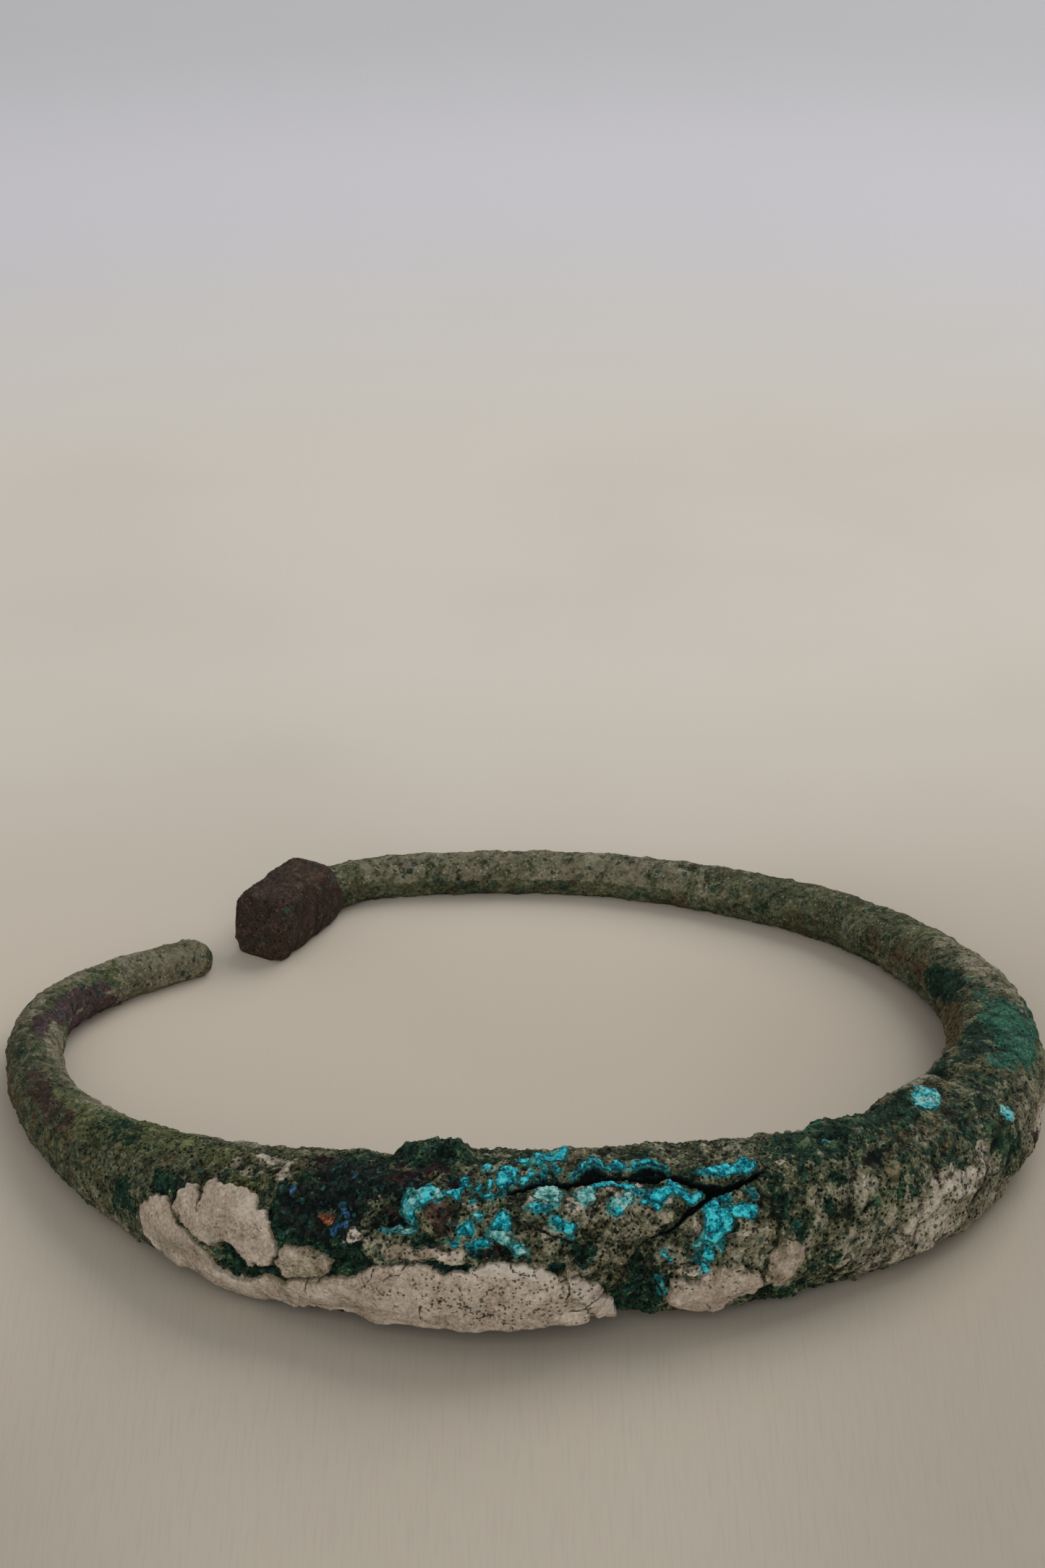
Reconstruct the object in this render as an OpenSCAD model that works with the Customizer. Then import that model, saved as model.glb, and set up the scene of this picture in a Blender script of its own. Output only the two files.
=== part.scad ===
// Open arm ring of bronze, lying on its side. The hoop is one casting: thick and lumpy
// at the front, drawn out round both sides to thin arms. The right arm goes all the way
// round the back and ends in a square terminal, bent in to meet the left arm's tip.
// The ring lies in XY with its thick middle at -Y, and rests on z = 0.

/* [Hoop] */
// Width of the hoop from its left side to its right side
hoop_w = 79; // [60:0.5:100]
// Thickness of the hoop at its front middle
middle_t = 12.9; // [8:0.1:16]
// Thickness of the thin right arm at the back
arm_t = 3.5; // [2.5:0.1:6]

/* [Terminal] */
// Height of the square terminal on the right arm
terminal_h = 5.6; // [4:0.1:8]
// Width of the square terminal across the arm
terminal_w = 5.0; // [4:0.1:7]
// Rounding of the left arm's tip, measured along the arm
tip_round = 1.6; // [0.5:0.1:3]

/* [Surface] */
// Height of the lumps that corrosion has left on the thick part
lump_h = 0.26; // [0:0.02:0.6]
// Height of the largest crust, hump or hollow on the front
mark_h = 0.6; // [0:0.05:1]
// Depth of the long cracks on the front
crack_d = 0.9; // [0:0.1:1.5]
// Width of the long cracks at the surface
crack_w = 1.7; // [0.8:0.1:2.5]
// Depth of the flat that the ring has worn where it rests
rest_flat = 0.22; // [0.05:0.01:0.5]

/* [Hidden] */

// Sizes at which the stations below were taken; the driving sizes scale them
nominal_w = 79;
nominal_t = 12.9;
nominal_arm = 3.5;
plan_k = hoop_w / nominal_w;

// Stations along the hoop. Columns: ANGLE from the front middle in degrees, positive to
// the right; RADIUS of the section's centre from the ring's centre; WIDE across the hoop
// and TALL; LIFT of the underside off the surface.
ANGLE = 0;
RADIUS = 1;
WIDE = 2;
TALL = 3;
LIFT = 4;
stations = [
    [-134.6, 34.3, 3.1, 2.9, 0.0],
    [-129.5, 35.0, 3.3, 3.1, 0.0],
    [-120.5, 36.5, 3.5, 3.3, 0.2],
    [-108.5, 37.9, 3.9, 3.7, 0.4],
    [-96, 37.0, 4.3, 4.2, 0.5],
    [-84, 35.6, 4.8, 4.8, 0.5],
    [-70, 34.0, 5.8, 6.2, 0.4],
    [-56, 32.9, 7.3, 7.9, 0.3],
    [-44, 32.6, 8.8, 9.4, 0.2],
    [-32, 32.4, 10.2, 10.6, 0.1],
    [-20, 32.1, 11.7, 11.7, 0.0],
    [-8, 32.4, 13.0, 13.0, 0.0],
    [3, 32.3, 12.8, 12.8, 0.0],
    [13, 31.2, 12.0, 12.0, 0.0],
    [26, 32.1, 11.7, 11.7, 0.1],
    [40, 33.3, 10.8, 10.8, 0.2],
    [54, 34.6, 10.1, 10.1, 0.3],
    [72, 35.7, 8.8, 8.8, 0.3],
    [90, 36.4, 7.4, 7.4, 0.3],
    [108, 37.8, 6.0, 5.9, 0.2],
    [124, 38.8, 4.8, 4.7, 0.1],
    [140, 39.2, 4.2, 4.1, 0.0],
    [156, 38.8, 3.8, 3.7, 0.0],
    [172, 38.9, 3.5, 3.5, 0.0],
    [186, 38.9, 3.5, 3.4, 0.0],
    [196, 39.5, 3.5, 3.4, 0.0],
    [202.5, 38.7, 3.6, 3.5, 0.0],
    [207.8, 36.5, 3.8, 3.7, 0.0],
    [213.5, 34.4, 3.9, 3.8, 0.0],
    [218.4, 32.9, 3.9, 3.8, 0.0]
];
last = len(stations) - 1;

// Crusts, humps and hollows that show on the thick part. Columns: ALONG the hoop from the
// front middle in mm, positive to the right; ROUND the section from its outermost line in
// mm, positive upward; HALF_LONG and HALF_HIGH of the mark in mm; RISE as a share of
// mark_h, negative for a hollow.
ALONG = 0;
ROUND = 1;
HALF_LONG = 2;
HALF_HIGH = 3;
RISE = 4;
marks = [
    // Lime crust along the lower outer side
    [-20.5, 1.5, 6.5, 4.0, 0.7],
    [-12.0, -1.0, 4.0, 3.0, 0.5],
    [-3.0, -1.5, 9.0, 4.5, 0.8],
    [13.5, -1.8, 5.0, 2.6, 0.6],
    // Mossy gaps in the crust
    [-18.4, -0.4, 1.6, 1.4, -1.0],
    [-9.6, 0.9, 1.8, 1.2, -0.7],
    [7.2, -2.0, 2.6, 3.4, -1.1],
    // Flake that the two long cracks have lifted, and the blister left of it
    [6.0, 4.9, 6.6, 2.8, 0.9],
    [-5.6, 6.2, 2.4, 1.6, 0.6],
    // Hollows in the bare metal
    [-12.8, 4.6, 3.6, 3.4, -0.6],
    [-6.9, 4.3, 1.6, 1.3, -1.0],
    [-1.3, 2.4, 2.2, 1.0, -0.7],
    // Humps and a dip along the top, and the shoulder where the right side starts
    [-6.0, 12.5, 3.6, 3.0, 0.9],
    [-1.2, 12.0, 1.8, 2.6, -0.6],
    [26.0, 10.0, 3.0, 3.0, 0.6],
    [36.0, 11.0, 5.0, 4.0, 1.0],
    [44.0, 9.0, 4.0, 4.0, 0.7]
];

// Long cracks on the front, as ALONG and ROUND places in mm
cracks = [
    [[-0.6, 6.3], [1.6, 7.8], [5.4, 7.8], [9.3, 7.3], [13.1, 5.7], [16.1, 6.0], [18.1, 6.9]],
    [[13.1, 5.5], [11.6, 4.0], [10.2, 2.9], [7.5, 2.0]],
    [[-0.5, 5.3], [1.0, 4.0], [2.5, 3.0]]
];

// The terminal swells out of the arm between these two angles
terminal_from = 203.6;
terminal_to = 207.2;
// Squareness of the sections: 2 is round
arm_square = 2.1;
terminal_square = 3.6;
terminal_round = 0.6;

// Rings and sides of the skin. The front is closer than the arms.
sides = 32;
front_to = 62;
front_step = 1.6;
arm_step = 3.5;
bend_from = 197;
bend_step = 1.5;
end_rings = [0, 0.3, 0.65, 1];

// Straight mix and smooth step, used to shape one stretch into the next
function mix(a, b, u) = a + (b - a) * u;
function clamp(x, low, high) = min(max(x, low), high);
function ease(u) = let(c = clamp(u, 0, 1)) c * c * (3 - 2 * c);

// Slope of a column at a station, from its two neighbours
function slope(i, col) =
    let(a = max(i - 1, 0), b = min(i + 1, last))
    (stations[b][col] - stations[a][col]) / (stations[b][ANGLE] - stations[a][ANGLE]);

// Row that an angle follows
function row_before(a, i = 0) =
    i >= last - 1 || stations[i + 1][ANGLE] > a ? i : row_before(a, i + 1);

// Value of a column at any angle, on a smooth curve through the stations
function at(a, col) =
    let(
        i = row_before(a),
        span = stations[i + 1][ANGLE] - stations[i][ANGLE],
        u = clamp((a - stations[i][ANGLE]) / span, 0, 1),
        y0 = stations[i][col],
        y1 = stations[i + 1][col],
        m0 = slope(i, col) * span,
        m1 = slope(i + 1, col) * span
    )
    y0 * (1 + 2 * u) * (1 - u) * (1 - u) + m0 * u * (1 - u) * (1 - u)
    + y1 * u * u * (3 - 2 * u) - m1 * u * u * (1 - u);

// Size of a section once the driving sizes have been taken in
function sized(t) =
    arm_t + (t - nominal_arm) * (middle_t - arm_t) / (nominal_t - nominal_arm);
function terminal_share(a) = ease((a - terminal_from) / (terminal_to - terminal_from));
function wide(a) = mix(sized(at(a, WIDE)), terminal_w, terminal_share(a));
function tall(a) = mix(sized(at(a, TALL)), terminal_h, terminal_share(a));
function square(a) = mix(arm_square, terminal_square, terminal_share(a));

// Centre line in plan, and the way across it, pointing out of the ring. The shift brings
// the middle of the whole outline to the origin.
plan_shift = [-0.65, -0.56];
function spine(a) = plan_k * (at(a, RADIUS) * [sin(a), -cos(a)] + plan_shift);
function outward(a) =
    let(d = spine(a + 0.5) - spine(a - 0.5))
    [d.y, -d.x] / norm(d);

// Both ends close by rings that shrink towards a flat end
function degrees_for(a, length) = length / (plan_k * at(a, RADIUS)) * 180 / PI;
function shrink(u) = sqrt(1 - (1 - u) * (1 - u) * 0.75);
tip_a = stations[0][ANGLE];
end_a = stations[last][ANGLE];
tip_span = degrees_for(tip_a, tip_round);
end_span = degrees_for(end_a, terminal_round);
rings = concat(
    [for (u = end_rings) [tip_a + u * tip_span, shrink(u)]],
    [for (a = [tip_a + tip_span + bend_step : arm_step : -front_to - 1]) [a, 1]],
    [for (a = [-front_to : front_step : front_to]) [a, 1]],
    [for (a = [front_to + arm_step / 2 : arm_step : bend_from]) [a, 1]],
    [for (a = [bend_from + bend_step : bend_step : end_a - end_span - 0.5]) [a, 1]],
    [for (i = [len(end_rings) - 1 : -1 : 0])
        let(u = end_rings[i]) [end_a - u * end_span, mix(1, shrink(u), 0.4)]]
);

// Millimetres along the hoop from the front middle
function along(a) = a * PI / 180 * plan_k * at(a, RADIUS);

// Lumps of corrosion, lower where the hoop is thinner: two weaves of crossing waves, with
// degrees of turn for each mm along the hoop and whole turns for each turn of the section
function weave(s, t, s_1, t_1, s_2, t_2) =
    sin(s_1 * s + t_1 * t) * sin(s_2 * s + t_2 * t + 90);
function lump(a, t) =
    let(s = along(a))
    lump_h * wide(a) / nominal_t
    * (1.2 * weave(s, t, 41, 5, 27, -4) + 0.8 * weave(s, t, 67, -7, 53, 6));

// Crusts, humps, hollows and cracks, which all lie between these two places along the hoop
marks_from = -29;
marks_to = 50;
function mark_rise(s, v) = [
    for (m = marks)
        let(
            ds = (s - m[ALONG]) / m[HALF_LONG],
            dv = (v - m[ROUND]) / m[HALF_HIGH],
            left = max(1 - ds * ds - dv * dv, 0)
        )
        mark_h * m[RISE] * ease(left * 1.5)
];
function to_line(p, a, b) =
    let(u = clamp((p - a) * (b - a) / ((b - a) * (b - a)), 0, 1))
    norm(p - a - u * (b - a));
function crack_gap(p) = min([
    for (line = cracks, i = [0 : len(line) - 2]) to_line(p, line[i], line[i + 1])
]);
function crack_cut(p) = crack_d * ease(1 - crack_gap(p) / (crack_w / 2));
function sum(list) = list * [for (x = list) 1];
function relief(a, t) =
    let(
        s = along(a),
        v = (t > 200 ? t - 360 : t) * PI / 180 * wide(a) / 2
    )
    s < marks_from || s > marks_to
        ? 0
        : sum(mark_rise(s, v)) - crack_cut([s, v]);

// One point of the skin: t runs round the section, 0 outward and 90 up
function power_of(x, square) = sign(x) * pow(abs(x), 2 / square);
function skin_point(a, t, k) =
    let(
        out = outward(a),
        rise = lump(a, t) + relief(a, t),
        across = (k * wide(a) / 2 * power_of(cos(t), square(a)) + rise * cos(t)),
        up = (k * tall(a) / 2 * power_of(sin(t), square(a)) + rise * sin(t)),
        z = tall(a) / 2 - rest_flat + at(a, LIFT) + up
    )
    concat(spine(a) + across * out, max(z, 0));

points = [
    for (r = rings, j = [0 : sides - 1])
        skin_point(r[0], j * 360 / sides, r[1])
];
ring_n = len(rings);
faces = concat(
    [for (i = [0 : ring_n - 2], j = [0 : sides - 1])
        let(n = (j + 1) % sides)
        each [
            [i * sides + j, i * sides + n, (i + 1) * sides + n],
            [i * sides + j, (i + 1) * sides + n, (i + 1) * sides + j]
        ]],
    [[for (j = [sides - 1 : -1 : 0]) j]],
    [[for (j = [0 : sides - 1]) (ring_n - 1) * sides + j]]
);

module hoop()
    color("darkolivegreen")
        polyhedron(points, faces);

hoop();
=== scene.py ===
"""Looks of an open bronze arm ring, corroded and crusted, lying on a pale table."""

import itertools
import logging
import math
from abc import ABC, abstractmethod
from collections.abc import Sequence
from dataclasses import dataclass
from enum import Enum

import bpy
import numpy as np
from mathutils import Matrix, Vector

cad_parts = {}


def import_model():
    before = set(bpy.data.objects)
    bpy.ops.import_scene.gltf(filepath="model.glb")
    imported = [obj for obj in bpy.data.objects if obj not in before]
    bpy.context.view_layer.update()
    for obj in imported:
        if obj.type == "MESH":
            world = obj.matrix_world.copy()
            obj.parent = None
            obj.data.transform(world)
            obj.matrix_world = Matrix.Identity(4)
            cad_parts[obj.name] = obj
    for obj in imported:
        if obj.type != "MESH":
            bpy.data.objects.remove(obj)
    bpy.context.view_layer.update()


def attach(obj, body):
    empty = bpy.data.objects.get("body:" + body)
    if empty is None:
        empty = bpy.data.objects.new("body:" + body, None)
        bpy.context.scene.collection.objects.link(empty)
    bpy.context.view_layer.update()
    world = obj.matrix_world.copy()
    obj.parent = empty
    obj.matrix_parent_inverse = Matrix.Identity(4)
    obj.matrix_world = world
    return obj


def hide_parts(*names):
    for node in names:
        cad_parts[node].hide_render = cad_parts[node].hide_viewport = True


log = logging.getLogger("arm_ring")

MM = 0.001
Rgb = tuple[int, int, int]
Shades = tuple[Rgb, ...]
Place = tuple[float, float]
Array = np.ndarray
# Depth in mm given to places that are far outside every plate
OUTSIDE = -1.5


def ease(share: Array) -> Array:
    """Smooth step from 0 at 0 to 1 at 1."""
    held = np.clip(share, 0.0, 1.0)
    return held * held * (3.0 - 2.0 * held)


def mix(low: Array | float, high: Array | float, share: Array) -> Array:
    """Straight mix of two values."""
    return low + (high - low) * share


def dome(away: Array, reach: float, lowest: float) -> Array:
    """Rounded top of a grain, 1 in its middle and 0 at its reach."""
    return np.maximum(1 - (away / reach) ** 2, lowest)


def between(values: Array, reach: Sequence[float | Array]) -> Array:
    """Which values lie between two limits."""
    return (values > reach[0]) & (values < reach[1])


def read_rows(chart: str) -> list[tuple[float, ...]]:
    """Rows of numbers from a chart, with commas between numbers and spaces between rows."""
    return [tuple(float(part) for part in row.split(",")) for row in chart.split()]


def spaced(low: float, high: float, gaps: Sequence[Place], samples: int = 6001) -> Array:
    """Places from low to high whose gaps change with the place.

    Args:
        low: First place.
        high: Last place.
        gaps: Some places, each with the gap wanted there.
        samples: Number of places at which the gap is worked out.

    Returns:
        The places in rising order, ends included.
    """
    fine = np.linspace(low, high, samples)
    where, gap = np.array(gaps).T
    rate = 1.0 / np.interp(fine, where, gap)
    total = np.concatenate([[0.0], np.cumsum((rate[1:] + rate[:-1]) / 2 * np.diff(fine))])
    count = int(math.ceil(total[-1]))
    return np.interp(np.linspace(0.0, total[-1], count + 1), total, fine)


def outline_depth(places: Array, outline: Sequence[Place]) -> Array:
    """Distance of each place to a closed outline, positive inside it.

    Args:
        places: Chart places, one row each.
        outline: Corners in order.

    Returns:
        Signed distances in the places' own unit.
    """
    nearest = np.full(len(places), np.inf)
    inside = np.zeros(len(places), bool)
    x, y = places.T
    corners = np.asarray(outline, float)
    for (ax, ay), (bx, by) in zip(corners, np.roll(corners, -1, axis=0), strict=True):
        wx, wy = bx - ax, by - ay
        share = np.clip(((x - ax) * wx + (y - ay) * wy) / (wx * wx + wy * wy), 0, 1)
        nearest = np.minimum(nearest, np.hypot(x - ax - share * wx, y - ay - share * wy))
        if ay != by:
            crosses = ((ay > y) != (by > y)) & (x < wx * (y - ay) / wy + ax)
            inside ^= crosses
    return np.where(inside, nearest, -nearest)


def line_depth(places: Array, line: Sequence[Place], wide_from: float, wide_to: float) -> Array:
    """Depth of each place inside a split that runs along an open line and tapers.

    Args:
        places: Chart places, one row each.
        line: Points of the line in order.
        wide_from: Width at the first point.
        wide_to: Width at the last point.

    Returns:
        Signed distances to the split's edge, positive inside it.
    """
    points = np.asarray(line, float)
    lengths = np.linalg.norm(np.diff(points, axis=0), axis=1)
    starts = np.concatenate([[0.0], np.cumsum(lengths)])
    best = np.full(len(places), -np.inf)
    for a, b, start, length in zip(points, points[1:], starts, lengths, strict=False):
        way = b - a
        share = np.clip((places - a) @ way / (way @ way), 0, 1)
        away = np.linalg.norm(places - a - share[:, None] * way, axis=1)
        wide = mix(wide_from, wide_to, (start + share * length) / starts[-1])
        best = np.maximum(best, wide / 2 - away)
    return best


class Grain:
    """Seeded noise for relief, read at points in millimetres."""

    COUNT = 256
    # Brings the smooth noise out to about -1 and 1
    SWING = 1.6
    # Shift in mm from one size of noise to the next
    APART = 17.3

    def __init__(self, seed: int) -> None:
        """Draws the noise's own tables from a seed.

        Args:
            seed: Number that fixes the draws.
        """
        draw = np.random.default_rng(seed)
        order = draw.permutation(self.COUNT)
        self.order = np.concatenate([order, order])
        slopes = draw.normal(size=(self.COUNT, 3))
        self.slopes = slopes / np.linalg.norm(slopes, axis=1, keepdims=True)
        self.seeds = draw.random((self.COUNT, 3))

    def pick(self, cells: Array) -> Array:
        """One table row for each whole-number cell."""
        i, j, k = (cells % self.COUNT).T
        return self.order[self.order[self.order[i] + j] + k]

    def smooth(self, points: Array, size: float) -> Array:
        """Gradient noise of one size, from about -1 to 1.

        Args:
            points: Places in space.
            size: Distance between the noise's own cells.

        Returns:
            One value for each point.
        """
        q = points / size
        cell = np.floor(q).astype(int)
        f = q - cell
        u = f * f * f * (f * (f * 6 - 15) + 10)
        total = np.zeros(len(points))
        for corner in itertools.product((0, 1), repeat=3):
            at = np.array(corner)
            weight = np.prod(np.where(at == 1, u, 1 - u), axis=1)
            slope = self.slopes[self.pick(cell + at)]
            total += weight * np.einsum("ij,ij->i", slope, f - at)
        return total * self.SWING

    def fractal(self, points: Array, size: float, octaves: int, gain: float = 0.5) -> Array:
        """Gradient noise summed over halving sizes.

        Args:
            points: Places in space.
            size: Largest size.
            octaves: Number of sizes.
            gain: Share of its height that each smaller size keeps.

        Returns:
            One value for each point, from about -1 to 1.
        """
        total = np.zeros(len(points))
        high = 1.0
        for turn in range(octaves):
            total += high * self.smooth(points + self.APART * turn, size / 2**turn)
            high *= gain
        return total

    def cells(self, points: Array, size: float) -> tuple[Array, Array, Array]:
        """Distances to the nearest scattered seeds, for lumps and cracked plates.

        Args:
            points: Places in space.
            size: Distance between seeds.

        Returns:
            Distance to the nearest seed and to the second nearest, as shares of
            size, and a random value from 0 to 1 for the nearest seed.
        """
        q = points / size
        cell = np.floor(q).astype(int)
        first = np.full(len(points), 9.0)
        second = first.copy()
        own = np.zeros(len(points), int)
        for offset in itertools.product((-1, 0, 1), repeat=3):
            at = cell + np.array(offset)
            row = self.pick(at)
            away = np.linalg.norm(q - at - self.seeds[row], axis=1)
            nearer = away < first
            second = np.where(nearer, first, np.minimum(second, away))
            own = np.where(nearer, row, own)
            first = np.minimum(first, away)
        return first, second, own / self.COUNT


@dataclass
class Spots:
    """Places on the smooth hoop where relief and finishes are worked out, in mm."""

    angle: Array
    turn: Array
    along: Array
    around: Array
    wide: Array
    base: Array

    @property
    def chart(self) -> Array:
        """Distance along the hoop and round its section, one row for each place."""
        return np.stack([self.along, self.around], axis=1)

    def only(self, chosen: Array) -> "Spots":
        """The chosen places alone."""
        return Spots(*(getattr(self, name)[chosen] for name in self.__dataclass_fields__))


@dataclass
class HoopForm:
    """The smooth hoop, a section swept round the arm and changing from station to station."""

    # Angle from the front middle in degrees, radius, width, height and lift in mm
    stations: str = (
        "-134.6,34.3,3.1,2.9,0 -129.5,35,3.3,3.1,0 -120.5,36.5,3.5,3.3,0.2 -108.5,37.9,3.9,3.7,0.4 "
        "-96,37,4.3,4.2,0.5 -84,35.6,4.8,4.8,0.5 -70,34,5.8,6.2,0.4 -56,32.9,7.3,7.9,0.3 "
        "-44,32.6,8.8,9.4,0.2 -32,32.4,10.2,10.6,0.1 -20,32.1,11.7,11.7,0 -8,32.4,13,13,0 "
        "3,32.3,12.8,12.8,0 13,31.2,12,12,0 26,32.1,11.7,11.7,0.1 40,33.3,10.8,10.8,0.2 "
        "54,34.6,10.1,10.1,0.3 72,35.7,8.8,8.8,0.3 90,36.4,7.4,7.4,0.3 108,37.8,6,5.9,0.2 "
        "124,38.8,4.8,4.7,0.1 140,39.2,4.2,4.1,0 156,38.8,3.8,3.7,0 172,38.9,3.5,3.5,0 186,38.9,3.5,3.4,0 "
        "196,39.5,3.5,3.4,0 202.5,38.7,3.6,3.5,0 207.8,36.5,3.8,3.7,0 213.5,34.4,3.9,3.8,0 "
        "218.4,32.9,3.9,3.8,0"
    )
    plan_shift: Place = (-0.65, -0.56)
    rest_flat: float = 0.22
    terminal_turns: Place = (203.6, 207.2)
    terminal_wide: float = 5.0
    terminal_tall: float = 5.6
    arm_square: float = 2.1
    terminal_square: float = 3.6
    full_thick: float = 12.9
    spine_points: int = 7061
    # Degrees to each side over which the hoop's direction is measured
    look: float = 0.5

    def __post_init__(self) -> None:
        """Measures the centre line."""
        self.table = np.array(read_rows(self.stations))
        self.first, self.last = self.table[0, 0], self.table[-1, 0]
        self.angles = np.linspace(self.first, self.last, self.spine_points)
        line = self.spine(self.angles)
        gone = np.linalg.norm(np.diff(line, axis=0), axis=1)
        total = np.concatenate([[0.0], np.cumsum(gone)])
        self.lengths = total - np.interp(0.0, self.angles, total)

    def column(self, angle: Array, which: int) -> Array:
        """One column of the station table at any angle, on a smooth curve.

        Args:
            angle: Angles in degrees.
            which: Column number.

        Returns:
            The column's value at each angle.
        """
        a, y = self.table[:, 0], self.table[:, which]
        last = len(a) - 1
        low = np.maximum(np.arange(last + 1) - 1, 0)
        high = np.minimum(np.arange(last + 1) + 1, last)
        slope = (y[high] - y[low]) / (a[high] - a[low])
        i = np.clip(np.searchsorted(a, angle, side="right") - 1, 0, last - 1)
        span = a[i + 1] - a[i]
        u = np.clip((angle - a[i]) / span, 0, 1)
        start = y[i] * (1 + 2 * u) * (1 - u) ** 2 + slope[i] * span * u * (1 - u) ** 2
        return start + y[i + 1] * u * u * (3 - 2 * u) - slope[i + 1] * span * u * u * (1 - u)

    def spine(self, angle: Array) -> Array:
        """Centre line in plan at each angle.

        Args:
            angle: Angles round the ring, in degrees.

        Returns:
            Points in plan, in mm, one row for each angle.
        """
        turn, radius = np.radians(angle), self.column(angle, 1)
        way = np.stack([np.sin(turn), -np.cos(turn)], axis=-1)
        return radius[..., None] * way + np.array(self.plan_shift)

    def terminal(self, angle: Array) -> Array:
        """How far the arm has become the square terminal, from 0 to 1."""
        start, end = self.terminal_turns
        return ease((angle - start) / (end - start))

    def spots(self, angle: Array, turn: Array) -> Spots:
        """Places on the smooth hoop.

        Args:
            angle: Angles round the ring, in degrees.
            turn: Angles round the section, in radians, 0 outward and positive upward.

        Returns:
            The places with their chart distances.
        """
        wide = mix(self.column(angle, 2), self.terminal_wide, self.terminal(angle))
        along = np.interp(angle, self.angles, self.lengths)
        made = Spots(angle, turn, along, turn * wide / 2, wide, np.zeros((len(angle), 3)))
        made.base = self.raised(made, np.zeros(len(angle)))
        return made

    def charted(self, along: Array, around: Array) -> Spots:
        """Places given by their chart distances in mm.

        Args:
            along: Distances along the hoop from the front middle.
            around: Distances round the section from its outer side.

        Returns:
            The places on the smooth hoop.
        """
        angle = np.interp(along, self.lengths, self.angles)
        wide = mix(self.column(angle, 2), self.terminal_wide, self.terminal(angle))
        return self.spots(angle, around / (wide / 2))

    def raised(self, at: Spots, rise: Array, narrow: Array | float = 1.0) -> Array:
        """Points above the smooth hoop.

        Args:
            at: The places.
            rise: Height above the surface in mm.
            narrow: Share of the section's size, under 1 at the ends.

        Returns:
            Points in mm.
        """
        tall = mix(self.column(at.angle, 3), self.terminal_tall, self.terminal(at.angle))
        power = 2 / mix(self.arm_square, self.terminal_square, self.terminal(at.angle))
        across, up = np.cos(at.turn), np.sin(at.turn)
        way = self.spine(at.angle + self.look) - self.spine(at.angle - self.look)
        way /= np.linalg.norm(way, axis=1, keepdims=True)
        out = np.stack([way[:, 1], -way[:, 0]], axis=1)
        far = narrow * at.wide / 2 * np.sign(across) * np.abs(across) ** power + rise * across
        high = narrow * tall / 2 * np.sign(up) * np.abs(up) ** power + rise * up
        z = tall / 2 - self.rest_flat + self.column(at.angle, 4) + high
        plan = self.spine(at.angle) + far[:, None] * out
        return np.concatenate([plan, np.maximum(z, 0.0)[:, None]], axis=1)


class Zone(Enum):
    """Kinds of corrosion that cover parts of the hoop. The value names the mesh attribute."""

    MOSS = "moss"
    BARE = "bare"
    RED = "red"
    BLUE = "blue"
    TEAL = "teal"
    OCHRE = "ochre"
    RUST = "rust"
    LEAF = "leaf"
    VIOLET = "violet"
    UMBER = "umber"
    SOIL = "soil"
    CHALK = "chalk"
    LUMPY = "lumpy"


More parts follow.
